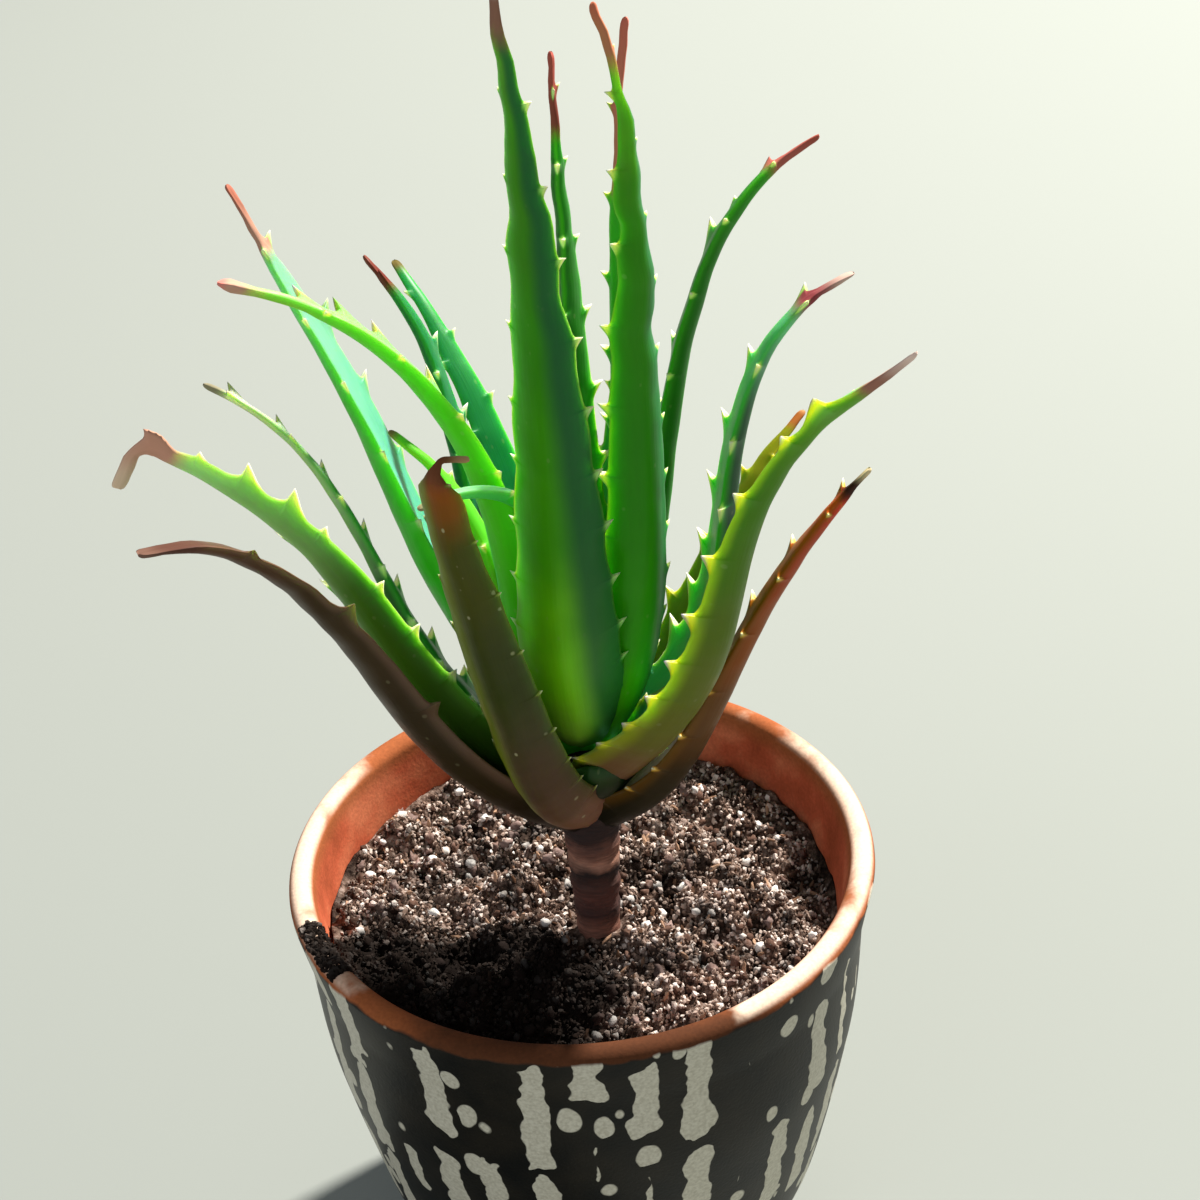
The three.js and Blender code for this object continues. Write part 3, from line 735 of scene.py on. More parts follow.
def freckle_mask(tree, seeded, strength):
    """Freckles of about 0.8 mm in loose rows, strong on old leaves and faint on the others."""
    grid = add_node(tree, "ShaderNodeMapping", {
        "Vector": seeded, "Scale": (1 / FRECKLE_GRID[0], 1 / FRECKLE_GRID[1], 1.0)})
    freckle = add_node(tree, "ShaderNodeTexVoronoi", {
        "Vector": grid, "Scale": 1.0, "Randomness": 0.9})
    return add_node(tree, "ShaderNodeMapRange", {
        0: freckle, 1: 0.07, 2: 0.13, 3: 0.12 + 0.5 * strength, 4: 0.0})


def scar_mask(tree, seeded):
    """Corky scars of about 0.6 mm, a few on each leaf."""
    grid = add_node(tree, "ShaderNodeMapping", {
        "Vector": seeded, "Location": (3.0, 1.0, 0.0),
        "Scale": (1 / SCAR_GRID[0], 1 / SCAR_GRID[1], 1.0)})
    scar = add_node(tree, "ShaderNodeTexVoronoi", {"Vector": grid, "Scale": 1.0})
    draw = add_node(tree, "ShaderNodeSeparateColor", {0: scar.outputs["Color"]})
    width = add_node(tree, "ShaderNodeMapRange", {
        0: draw.outputs[0], 1: 0.55, 2: 1.0, 3: 0.0, 4: 0.07})
    inside = add_node(tree, "ShaderNodeMath", {0: scar, 1: width}, operation="LESS_THAN")
    return add_node(tree, "ShaderNodeMath", {0: inside, 1: 0.6}, operation="MULTIPLY")


def margin_mask(tree, across):
    """The margin's thin pale line."""
    edge = add_node(tree, "ShaderNodeMath", {0: across}, operation="ABSOLUTE")
    return add_node(tree, "ShaderNodeMapRange", {
        0: edge, 1: 0.72, 2: 1.0, 3: 0.0, 4: 0.45}, interpolation_type="SMOOTHSTEP")


def flank_mask(tree, across, inner_face, side):
    """One side of the outer face, with a colour painted over it as painted shade or painted glow,
    where the flesh also lets less light through.
    """
    sideways = add_node(tree, "ShaderNodeMath", {0: across, 1: float(side)}, operation="MULTIPLY")
    flank = add_node(tree, "ShaderNodeMapRange", {
        0: sideways, 1: 0.0, 2: 0.6, 3: 0.0, 4: 0.9}, interpolation_type="SMOOTHSTEP")
    outside = add_node(tree, "ShaderNodeMath", {0: 1.0, 1: inner_face}, operation="SUBTRACT")
    return add_node(tree, "ShaderNodeMath", {0: flank, 1: outside}, operation="MULTIPLY")


def dried_tip(tree, spec, shift, share, fibre_light):
    """Where the tip is dry, and its colour. Its start wavers by a few millimetres, and it pales
    towards its end."""
    start, first, last = spec["dry"]
    wavering = add_node(tree, "ShaderNodeMath", {
        0: shift, 1: 0.06, 2: share}, operation="MULTIPLY_ADD")
    dried = add_node(tree, "ShaderNodeMapRange", {
        0: wavering, 1: start - 0.02, 2: start + 0.015}, interpolation_type="SMOOTHSTEP")
    faded = add_node(tree, "ShaderNodeMapRange", {
        0: wavering, 1: start + 0.03, 2: 1.0}, interpolation_type="SMOOTHSTEP")
    tone = add_node(tree, "ShaderNodeMix", {
        0: faded, 6: colour(first), 7: colour(last)}, data_type="RGBA")
    fibres = add_node(tree, "ShaderNodeVectorMath", {0: tone, 3: fibre_light}, operation="SCALE")
    return dried, fibres


def tooth_paint(tree, spec, tooth):
    """Where the teeth are, and their colours: yellow-green foot, cream spine, dark point. The foot
    and the cream are partly their own colour and partly painted glow of light shining through.
    """
    ramp = add_node(tree, "ShaderNodeValToRGB", {0: tooth})
    paint = paint_stops(ramp, [
        (0.0, spec["margin"]), (0.3, spec["thorn"]), (0.72, "#f2f4b8"), (0.93, "#fdf8e0"),
        (0.985, "#6a4026"),
    ])
    mask = add_node(tree, "ShaderNodeMapRange", {
        0: tooth, 1: 0.02, 2: 0.2}, interpolation_type="SMOOTHSTEP")
    return mask, paint


def aloe_skin(index, spec):
    """Living aloe leaf: a waxy cuticle over watery flesh that light soaks through, so it looks
    lit from within; faint streaks run along it, the margin is paler, teeth end in cream and a
    dark point, and the tip has dried to a brown paper stick."""
    material, tree = new_material(f"aloe_skin_{index + 1:02d}")
    marks = add_node(tree, "ShaderNodeAttribute", attribute_name="leaf_marks").outputs["Vector"]
    place = add_node(tree, "ShaderNodeAttribute", attribute_name="leaf_place").outputs["Vector"]
    share, across, tooth = add_node(tree, "ShaderNodeSeparateXYZ", {0: marks}).outputs
    inner_face = add_node(tree, "ShaderNodeSeparateXYZ", {0: place}).outputs[2]
    seeded = add_node(tree, "ShaderNodeVectorMath", {
        0: place, 1: (DRAWN_APART * index, 0, 0)}, operation="ADD")

    # Soft patches shift the colours along the leaf.
    patches = add_node(tree, "ShaderNodeTexNoise", {
        "Vector": seeded, "Scale": 1 / PATCH, "Detail": 2.0, "Roughness": 0.5})
    shift = add_node(tree, "ShaderNodeMath", {0: patches, 1: -0.5}, operation="ADD")
    drift = add_node(tree, "ShaderNodeMath", {
        0: shift, 1: 0.12, 2: share}, operation="MULTIPLY_ADD")

    # Thin streaks follow the fibres of the leaf.
    stretched = add_node(tree, "ShaderNodeMapping", {
        "Vector": seeded, "Scale": (1 / STREAK[0], 1 / STREAK[1], 1.0)})
    streaks = add_node(tree, "ShaderNodeTexNoise", {
        "Vector": stretched, "Scale": 1.0, "Detail": 3.0, "Roughness": 0.6})
    fibre_light = add_node(tree, "ShaderNodeMapRange", {
        0: streaks, 1: 0.3, 2: 0.7, 3: 0.96, 4: 1.04})
    skin = add_node(tree, "ShaderNodeVectorMath", {
        0: face_paint(tree, spec, drift, inner_face), 3: fibre_light}, operation="SCALE")

    layers = [
        (freckle_mask(tree, seeded, spec["freckles"]), colour("#b9b48c")),
        (scar_mask(tree, seeded), colour("#4a4218")),
        (margin_mask(tree, across), colour(spec["margin"])),
    ]
    flesh = OLD_FLESH if spec["slot"] in ("brown", "russet") else CLEAR_FLESH
    clear = flesh
    # Painted shade, or painted glow, over one side of the outer face.
    if spec["flank"]:
        flank_paint, side = spec["flank"]
        flank = flank_mask(tree, across, inner_face, side)
        layers.append((flank, colour(flank_paint)))
        clear = add_node(tree, "ShaderNodeMath", {
            0: flank, 1: -0.8 * flesh, 2: flesh}, operation="MULTIPLY_ADD")
    dried, fibres = dried_tip(tree, spec, shift, share, fibre_light)
    layers += [(dried, fibres), tooth_paint(tree, spec, tooth)]
    for mask, paint in layers:
        skin = add_node(tree, "ShaderNodeMix", {0: mask, 6: skin, 7: paint}, data_type="RGBA")

    # Wax wears off in patches, so the gloss changes; the dried tip is matt.
    gloss = add_node(tree, "ShaderNodeMapRange", {0: patches, 1: 0.3, 2: 0.7, 3: 0.36, 4: 0.5})
    rough = add_node(tree, "ShaderNodeMath", {
        0: dried, 1: 0.35, 2: gloss}, operation="MULTIPLY_ADD")
    swells = add_node(tree, "ShaderNodeBump", {
        "Strength": 0.5, "Distance": 0.0015, "Height": patches})
    relief = add_node(tree, "ShaderNodeBump", {
        "Strength": 0.4, "Distance": 0.0002, "Height": streaks, "Normal": swells})
    living = add_node(tree, "ShaderNodeMath", {0: 1.0, 1: dried}, operation="SUBTRACT")
    watery = add_node(tree, "ShaderNodeMath", {0: living, 1: clear}, operation="MULTIPLY")
    finish_surface(tree, {
        "Base Color": skin, "Roughness": rough, "IOR": 1.42, "Normal": relief,
        "Subsurface Weight": watery, "Subsurface Radius": (0.55, 1.0, 0.12),
        "Subsurface Scale": 0.01, "Specular IOR Level": 0.22, "Coat Weight": 0.03,
        "Coat Roughness": 0.25})
    return material


# ------------------------------------------------------------------ stem

STEM_SIDES = 72
STEM_STEP = 0.6
# How far the rings lean and bend round the stem, in mm.
RING_LEAN = 0.7
RING_BEND = 0.5
# The bark's noises, drawn as if on a stem of this radius: depth in mm, how many times shorter
# they are along the stem than round it, and size in mm.
DRAWN_RADIUS = 6
BARK_NOISES = [(0.28, 1.6, 2.6), (0.16, 3.5, 1.3)]


def make_stem():
    points = []
    heights = np.arange(ROOT_END, STEM_TOP + 0.01, STEM_STEP)
    for height in heights:
        for k in range(STEM_SIDES):
            angle = 2 * math.pi * k / STEM_SIDES
            tilt = RING_LEAN * math.sin(angle + 1.1) + RING_BEND * math.sin(2 * angle)
            radius = radius_along(STEM_PROFILE, height + tilt)
            x, y = math.cos(angle), math.sin(angle)
            for depth, squeeze, size in BARK_NOISES:
                radius += depth * bump_at(DRAWN_RADIUS * x, DRAWN_RADIUS * y, height * squeeze, size)
            points.append((STEM_X + radius * x, STEM_Y + radius * y, height))
    faces = loft_faces(len(heights), STEM_SIDES)
    hand_over(mesh_object("stem_bark", points, faces, stem_bark_material()), "stem", "trunk")


def stem_bark_material():
    """Corky aloe stem: thin papery rings left by lost leaves, pinkish where bark is young and
    near black in the old scars, matt all over."""
    material, tree = new_material("corky_stem_bark")
    where = add_node(tree, "ShaderNodeTexCoord").outputs["Object"]
    split = add_node(tree, "ShaderNodeSeparateXYZ", {0: where})
    wobble = add_node(tree, "ShaderNodeTexNoise", {"Vector": where, "Scale": 190.0, "Detail": 3.0})
    height = add_node(tree, "ShaderNodeMath", {
        0: wobble, 1: 0.006, 2: split.outputs[2]}, operation="MULTIPLY_ADD")
    level = add_node(tree, "ShaderNodeMapRange", {0: height, 1: 0.115, 2: 0.157})
    bands = paint_stops(add_node(tree, "ShaderNodeValToRGB", {0: level}), [
        (0.0, "#4c261e"), (0.16, "#7c5040"), (0.3, "#341a15"), (0.4, "#5c362c"),
        (0.5, "#44281f"), (0.6, "#1a0f0c"), (0.68, "#a0745f"), (0.78, "#6c4638"),
        (0.88, "#2a1915"),
    ])
    squeezed = add_node(tree, "ShaderNodeMapping", {
        "Vector": where, "Scale": (160.0, 160.0, 1300.0)})
    rings = add_node(tree, "ShaderNodeTexNoise", {
        "Vector": squeezed, "Scale": 1.0, "Detail": 4.0, "Roughness": 0.65})
    light = add_node(tree, "ShaderNodeMapRange", {0: rings, 1: 0.3, 2: 0.72, 3: 0.6, 4: 1.45})
    bark = add_node(tree, "ShaderNodeVectorMath", {0: bands, 3: light}, operation="SCALE")
    relief = add_node(tree, "ShaderNodeBump", {
        "Strength": 0.8, "Distance": 0.0006, "Height": rings})
    finish_surface(tree, {"Base Color": bark, "Roughness": 0.82, "Normal": relief})
    return material


# ------------------------------------------------------------------ pot

POT_SIDES = 192
LIP_STEPS = 14
WALL_STEPS = 6
INSIDE_STEPS = 4
WAVE_DEPTH = 0.22       # how uneven the thrown wall is, in mm, with waves of this size
WAVE_SIZE = 34
MEAN_RADIUS = 60
STEADY_FOOT = 10        # the waves fade out below this height
RUN_COLUMNS = 34        # columns of pale runs round the pot, about 13 mm apart
RUN_LENGTH = 0.038      # height in metres that each length of a column takes up
# Places on the lip, in metres, of painted highlights.
LIP_HIGHLIGHT_SPOTS = [(0.044, -0.0565, 0.13), (0.052, -0.049, 0.13)]


def rounded(profile, steps):
    """A smooth curve through a row of radius and height pairs."""
    radii = [r for r, _ in profile]
    heights = [h for _, h in profile]
    last = (len(profile) - 1) * steps
    return [(along(radii, i / last), along(heights, i / last)) for i in range(last + 1)]


def make_pot():
    lip = []
    middle = RIM_RADIUS - WALL / 2
    for i in range(LIP_STEPS + 1):
        angle = math.pi * i / LIP_STEPS
        lip.append((middle + WALL / 2 * math.cos(angle),
                    POT_HEIGHT - LIP_RISE + LIP_RISE * math.sin(angle)))
    profile = rounded(POT_OUTSIDE, WALL_STEPS) + lip + rounded(POT_INSIDE, INSIDE_STEPS)
    points = []
    for radius, height in profile:
        for x, y in circle(1, POT_SIDES):
            wave = WAVE_DEPTH * bump_at(MEAN_RADIUS * x, MEAN_RADIUS * y, height, WAVE_SIZE)
            wave *= min(1, height / STEADY_FOOT)
            points.append(((radius + wave) * x, (radius + wave) * y, height))
    faces = loft_faces(len(profile), POT_SIDES)
    hand_over(mesh_object("clay_pot", points, faces, painted_clay_material()),
              "terracotta", "pot")


def painted_lip_shadow(tree, y, height, clouds):
    """Painted shadow over the front of the lip."""
    forward = add_node(tree, "ShaderNodeMath", {
        0: clouds, 1: -0.02, 2: y}, operation="MULTIPLY_ADD")
    front = add_node(tree, "ShaderNodeMapRange", {
        0: forward, 1: -0.062, 2: -0.078, 3: 0.0, 4: 0.95}, interpolation_type="SMOOTHSTEP")
    on_lip = add_node(tree, "ShaderNodeMapRange", {
        0: height, 1: 0.121, 2: 0.126}, interpolation_type="SMOOTHSTEP")
    return add_node(tree, "ShaderNodeMath", {0: front, 1: on_lip}, operation="MULTIPLY")


def painted_lip_highlight(tree, where, x, height, clouds):
    """Painted highlight on the lip's crest: at both sides and in a few spots."""
    outward = add_node(tree, "ShaderNodeMath", {0: x}, operation="ABSOLUTE")
    aside = add_node(tree, "ShaderNodeMath", {
        0: clouds, 1: 0.05, 2: outward}, operation="MULTIPLY_ADD")
    lit_patch = add_node(tree, "ShaderNodeMapRange", {
        0: aside, 1: 0.078, 2: 0.094}, interpolation_type="SMOOTHSTEP")
    for spot in LIP_HIGHLIGHT_SPOTS:
        away = add_node(tree, "ShaderNodeVectorMath", {0: where, 1: spot}, operation="DISTANCE")
        ragged = add_node(tree, "ShaderNodeMath", {
            0: clouds, 1: -0.016, 2: away}, operation="MULTIPLY_ADD")
        near = add_node(tree, "ShaderNodeMapRange", {
            0: ragged, 1: 0.007, 2: 0.003}, interpolation_type="SMOOTHSTEP")
        lit_patch = add_node(tree, "ShaderNodeMath", {0: lit_patch, 1: near}, operation="MAXIMUM")
    crest = add_node(tree, "ShaderNodeMapRange", {
        0: height, 1: 0.128, 2: 0.1297, 3: 0.0, 4: 0.85}, interpolation_type="SMOOTHSTEP")
    return add_node(tree, "ShaderNodeMath", {0: lit_patch, 1: crest}, operation="MULTIPLY")


def bare_clay(tree, where, split, clouds, grit):
    """Bare clay: grit of about 1 mm over soft clouds of 12 mm. The lip is handled more than the
    wall inside, so it is browner, with a painted shadow at its front and painted highlights on its
    crest."""
    x, y, height = split
    paint = paint_stops(add_node(tree, "ShaderNodeValToRGB", {0: clouds}), [
        (0.3, "#9c4a2c"), (0.5, "#b9593a"), (0.7, "#cc7450")])
    handled = add_node(tree, "ShaderNodeMapRange", {
        0: height, 1: 0.1225, 2: 0.128, 3: 0.0, 4: 0.75}, interpolation_type="SMOOTHSTEP")
    for mask, cover in (
        (handled, "#96582f"),
        # Painted shadow over the front of the lip.
        (painted_lip_shadow(tree, y, height, clouds), "#4e2c18"),
        # Painted highlights on the lip's crest.
        (painted_lip_highlight(tree, where, x, height, clouds), "#f2d8c0"),
    ):
        paint = add_node(tree, "ShaderNodeMix", {
            0: mask, 6: paint, 7: colour(cover)}, data_type="RGBA")
    grit_light = add_node(tree, "ShaderNodeMapRange", {0: grit, 1: 0.3, 2: 0.7, 3: 0.88, 4: 1.1})
    return add_node(tree, "ShaderNodeVectorMath", {0: paint, 3: grit_light}, operation="SCALE")


def run_columns(tree, x, y, sway):
    """The column that a place round the pot is in, and how far across it, from 0 to 1."""
    angle = add_node(tree, "ShaderNodeMath", {0: y, 1: x}, operation="ARCTAN2")
    aimless = add_node(tree, "ShaderNodeMath", {0: sway, 1: 0.4}, operation="MULTIPLY")
    turn = add_node(tree, "ShaderNodeMath", {
        0: angle, 1: RUN_COLUMNS / (2 * math.pi), 2: aimless}, operation="MULTIPLY_ADD")
    count = add_node(tree, "ShaderNodeMath", {0: turn}, operation="FLOOR")
    column = add_node(tree, "ShaderNodeMath", {
        0: count, 1: float(RUN_COLUMNS)}, operation="FLOORED_MODULO")
    aside = add_node(tree, "ShaderNodeMath", {0: turn}, operation="FRACT")
    return column, aside


def run_lengths(tree, column, height, sway):
    """The length of a column that a height is in, and how far up it, from 0 to 1."""
    draw = add_node(tree, "ShaderNodeTexWhiteNoise", {"W": column}, noise_dimensions="1D")
    level = add_node(tree, "ShaderNodeMath", {
        0: height, 1: 1 / RUN_LENGTH, 2: draw}, operation="MULTIPLY_ADD")
    climb = add_node(tree, "ShaderNodeMath", {0: sway, 1: 0.5, 2: level}, operation="MULTIPLY_ADD")
    length = add_node(tree, "ShaderNodeMath", {0: climb}, operation="FLOOR")
    upward = add_node(tree, "ShaderNodeMath", {0: climb}, operation="FRACT")
    return length, upward


def run_mask(tree, where, split, wander):
    """The runs stand in columns round the pot. Each column is cut into lengths, and each length
    draws its own width and reach. Its edge is lumpy where drops of 4 mm stopped."""
    x, y, height = split
    sway = add_node(tree, "ShaderNodeSeparateColor", {0: wander.outputs["Color"]}).outputs
    column, aside = run_columns(tree, x, y, sway[0])
    length, upward = run_lengths(tree, column, height, sway[1])
    pair = add_node(tree, "ShaderNodeCombineXYZ", {0: column, 1: length, 2: 5.0})
    drawn = add_node(tree, "ShaderNodeTexWhiteNoise", {"Vector": pair}, noise_dimensions="3D")
    draw = add_node(tree, "ShaderNodeSeparateColor", {0: drawn.outputs["Color"]})
    width = add_node(tree, "ShaderNodeMapRange", {
        0: draw.outputs[0], 1: 0.14, 2: 0.5, 3: -0.1, 4: 0.22})
    reach = add_node(tree, "ShaderNodeMapRange", {
        0: draw.outputs[1], 1: 0.0, 2: 1.0, 3: 0.06, 4: 0.44})
    drops = add_node(tree, "ShaderNodeTexNoise", {"Vector": where, "Scale": 240.0, "Detail": 0.5})
    lumpy = add_node(tree, "ShaderNodeMath", {
        0: drops, 1: 0.22, 2: width}, operation="MULTIPLY_ADD")
    narrowing = add_node(tree, "ShaderNodeMath", {
        0: upward, 1: -0.12, 2: lumpy}, operation="MULTIPLY_ADD")
    from_middle = []
    for share in (aside, upward):
        centred = add_node(tree, "ShaderNodeMath", {0: share, 1: -0.5}, operation="ADD")
        from_middle.append(add_node(tree, "ShaderNodeMath", {0: centred}, operation="ABSOLUTE"))
    beyond = from_middle[1]
    for operation, value in (("SUBTRACT", reach), ("MULTIPLY", 2.6), ("MAXIMUM", 0.0)):
        beyond = add_node(tree, "ShaderNodeMath", {0: beyond, 1: value}, operation=operation)
    off_line = add_node(tree, "ShaderNodeCombineXYZ", {0: from_middle[0], 1: beyond})
    off_run = add_node(tree, "ShaderNodeVectorMath", {0: off_line}, operation="LENGTH")
    inside = add_node(tree, "ShaderNodeMath", {0: narrowing, 1: off_run}, operation="SUBTRACT")
    return add_node(tree, "ShaderNodeMapRange", {0: inside, 1: 0.0, 2: 0.02})


def splash_mask(tree, where, wander):
    """Small splashes of 2 to 7 mm between the runs."""
    bent = add_node(tree, "ShaderNodeVectorMath", {
        0: wander.outputs["Color"], 1: (0.002, 0.002, 0.003), 2: where}, operation="MULTIPLY_ADD")
    grid = add_node(tree, "ShaderNodeMapping", {"Vector": bent, "Scale": (130.0, 130.0, 95.0)})
    splash = add_node(tree, "ShaderNodeTexVoronoi", {"Vector": grid, "Scale": 1.0})
    draw = add_node(tree, "ShaderNodeSeparateColor", {0: splash.outputs["Color"]})
    width = add_node(tree, "ShaderNodeMapRange", {
        0: draw.outputs[1], 1: 0.45, 2: 1.0, 3: 0.0, 4: 0.46})
    inside = add_node(tree, "ShaderNodeMath", {0: width, 1: splash}, operation="SUBTRACT")
    return add_node(tree, "ShaderNodeMapRange", {0: inside, 1: 0.0, 2: 0.04})


def coat_mask(tree, split, wander):
    """The coat starts 2 to 3 mm below the lip's top, in a wavering line, and only outside."""
    x, y, height = split
    flat = add_node(tree, "ShaderNodeCombineXYZ", {0: x, 1: y})
    radius = add_node(tree, "ShaderNodeVectorMath", {0: flat}, operation="LENGTH")
    ragged = add_node(tree, "ShaderNodeMath", {
        0: wander, 1: 0.0035, 2: height}, operation="MULTIPLY_ADD")
    below = add_node(tree, "ShaderNodeMapRange", {0: ragged, 1: 0.1297, 2: 0.1289})
    wall_at = add_node(tree, "ShaderNodeMapRange", {
        0: height, 1: 0.0, 2: 0.112, 3: 0.0435, 4: 0.0705})
    outside = add_node(tree, "ShaderNodeMath", {0: radius, 1: wall_at}, operation="GREATER_THAN")
    return add_node(tree, "ShaderNodeMath", {0: below, 1: outside}, operation="MULTIPLY")


def painted_clay_material():
    """Thrown terracotta, bare and chalky on the lip and inside, with a dark satin slip outside
    and off-white slip that ran down it in short broken strips."""
    material, tree = new_material("slip_painted_terracotta")
    where = add_node(tree, "ShaderNodeTexCoord").outputs["Object"]
    split = add_node(tree, "ShaderNodeSeparateXYZ", {0: where}).outputs
    clouds = add_node(tree, "ShaderNodeTexNoise", {"Vector": where, "Scale": 80.0, "Detail": 4.0})
    grit = add_node(tree, "ShaderNodeTexNoise", {"Vector": where, "Scale": 1100.0, "Detail": 2.0})
    wander = add_node(tree, "ShaderNodeTexNoise", {
        "Vector": where, "Scale": 110.0, "Detail": 2.5, "Roughness": 0.45})
    pale = add_node(tree, "ShaderNodeMath", {
        0: run_mask(tree, where, split, wander), 1: splash_mask(tree, where, wander)},
        operation="MAXIMUM")
    slip_dark = paint_stops(add_node(tree, "ShaderNodeValToRGB", {0: clouds}), [
        (0.3, "#080806"), (0.7, "#1f1a12")])
    slip_pale = paint_stops(add_node(tree, "ShaderNodeValToRGB", {0: grit}), [
        (0.3, "#b4ae9b"), (0.65, "#cdc8b6")])
    coat = add_node(tree, "ShaderNodeMix", {0: pale, 6: slip_dark, 7: slip_pale}, data_type="RGBA")
    coated = coat_mask(tree, split, wander)
    shell = add_node(tree, "ShaderNodeMix", {
        0: coated, 6: bare_clay(tree, where, split, clouds, grit), 7: coat}, data_type="RGBA")
    rough = add_node(tree, "ShaderNodeMapRange", {0: coated, 1: 0.0, 2: 1.0, 3: 0.88, 4: 0.42})
    thickness = add_node(tree, "ShaderNodeMath", {0: pale, 1: coated}, operation="MULTIPLY")
    ridge = add_node(tree, "ShaderNodeMath", {
        0: grit, 1: 0.35, 2: thickness}, operation="MULTIPLY_ADD")
    relief = add_node(tree, "ShaderNodeBump", {
        "Strength": 0.5, "Distance": 0.0004, "Height": ridge})
    finish_surface(tree, {
        "Base Color": shell, "Roughness": rough, "Normal": relief, "Specular IOR Level": 0.16})
    return material


# ------------------------------------------------------------------ potting mix

SOIL_RINGS = 110
SOIL_SIDES = 460
SOIL_WALL = (FLOOR + 0.3, 31, 50, 70, 88, 104)
MOUND_SPREAD = 38
# The bank at the left front and the hollow on the right: height, middle and spread in mm.
SOIL_BANKS = [(9, -55, -26, 17, 26), (-4, 58, -2, 15, 26)]
# The relief's noises: their layer, and their size and height in mm.
ROLLING = (3, 14, 6.0)
CLODS = (7, 7, 7.5)
LUMPS = (31, 3.6, 3.4)
CRUMBS = (11, 4, 2.0)
SPECKS = (23, 1.9, 0.8)
CLODS_SINK = 2.8
CRUMBS_SINK = 0.9
# Where the relief is calm, in mm: at the pot's wall, round the stem and in the middle.
SOIL_GAP = 0.2
CALM_AT_WALL = 4
CALM_AT_STEM = (4, 10)
CALM_MIDDLE = 3
CRUMBS_AT_WALL = 2.5


def soil_height(x, y):
    """The mound of the frame's soil, with its bank, its hollow and its gentle waves."""
    mound = SOIL_MOUND * math.exp(-((math.hypot(x - STEM_X, y - STEM_Y) / MOUND_SPREAD) ** 2))
    level = SOIL_LEVEL + mound
    for height, at_x, at_y, wide, deep in SOIL_BANKS:
        level += height * math.exp(-(((x - at_x) / wide) ** 2) - (((y - at_y) / deep) ** 2))
    waves = 0.9 * math.sin(x * 0.31 + 1.2) * math.cos(y * 0.27 - 0.4)
    waves += 0.5 * math.sin(x * 0.62 - y * 0.51)
    return level + waves * min(1, math.hypot(x, y) / 12)


def soil_top_radius():
    return radius_along(POT_INSIDE[::-1], SOIL_LEVEL) - SOIL_GAP


def relief_at(x, y, relief):
    layer, size, height = relief
    return bump_at(x, y, layer, size) * height


def soil_clods(x, y):
    """Loose clods 4 to 14 mm across, with hollows between them. They settle towards the pot's
    wall and the stem."""
    settle = slope(0, CALM_AT_WALL, soil_top_radius() - math.hypot(x, y))
    heaps = relief_at(x, y, ROLLING) + abs(relief_at(x, y, CLODS)) - CLODS_SINK
    heaps += abs(relief_at(x, y, LUMPS))
    return heaps * settle * slope(*CALM_AT_STEM, math.hypot(x - STEM_X, y - STEM_Y))


def soil_crumbs(x, y):
    """Crumbs of 4 mm and specks of 2 mm on the clods."""
    return abs(relief_at(x, y, CRUMBS)) + relief_at(x, y, SPECKS) - CRUMBS_SINK


def make_soil():
    points = []
    for level in SOIL_WALL:
        radius = radius_along(POT_INSIDE[::-1], level) - SOIL_CLEARANCE
        points += [(x, y, level) for x, y in circle(radius, SOIL_SIDES)]
    rim = soil_top_radius()
    for i in range(SOIL_RINGS, 0, -1):
        radius = rim * i / SOIL_RINGS
        calm = min(1.0, radius / CALM_MIDDLE)
        crumbly = 0.4 + 0.6 * min(1.0, (rim - radius) / CRUMBS_AT_WALL)
        for x, y in circle(radius, SOIL_SIDES):
            height = soil_height(x, y) + soil_clods(x, y) * calm
            points.append((x, y, height + soil_crumbs(x, y) * calm * crumbly))
    faces = loft_faces(len(SOIL_WALL) + SOIL_RINGS, SOIL_SIDES)
    hand_over(mesh_object("potting_soil", points, faces, soil_material()), "soil", "soil")


def with_painted_shadow(tree, where, paint):
    """A colour with painted shade: a broad painted shadow at the left front of the stem, and darker
    patches about 12 mm across everywhere, painted shade as if in hollows."""
    # Painted shade in patches about 12 mm across.
    shade_noise = add_node(tree, "ShaderNodeTexNoise", {
        "Vector": where, "Scale": 85.0, "Detail": 2.0, "Roughness": 0.5})
    painted_shade_light = add_node(tree, "ShaderNodeMapRange", {
        0: shade_noise, 1: 0.34, 2: 0.54, 3: 0.25, 4: 1.0}, interpolation_type="SMOOTHSTEP")
    # Painted shadow: a broad patch at the left front of the stem, with a ragged edge.
    shadow_patch = add_node(tree, "ShaderNodeMapping", {
        "Vector": where, "Location": (-0.037, -0.041, 0.113), "Scale": (0.046, 0.032, 0.06)},
        vector_type="TEXTURE")
    away = add_node(tree, "ShaderNodeVectorMath", {0: shadow_patch}, operation="LENGTH")
    ragged = add_node(tree, "ShaderNodeMath", {
        0: shade_noise, 1: -0.9, 2: away}, operation="MULTIPLY_ADD")
    painted_shadow_light = add_node(tree, "ShaderNodeMapRange", {
        0: ragged, 1: 0.4, 2: 0.68, 3: 0.03, 4: 1.0}, interpolation_type="SMOOTHSTEP")
    light = add_node(tree, "ShaderNodeMath", {0: painted_shade_light, 1: painted_shadow_light}, operation="MULTIPLY")
    # The near-black colour is the painted shadow and painted shade.
    return add_node(tree, "ShaderNodeMix", {
        0: light, 6: colour("#100a07"), 7: paint}, data_type="RGBA")


def finish_earth(tree, where, paint, roughness, relief):
    """Ends a matt earthy material, with painted shadow and painted shade laid over it, and its
    relief.
    """
    finish_surface(tree, {
        "Base Color": with_painted_shadow(tree, where, paint), "Roughness": roughness,
        "Specular IOR Level": 0.1, "Normal": relief})


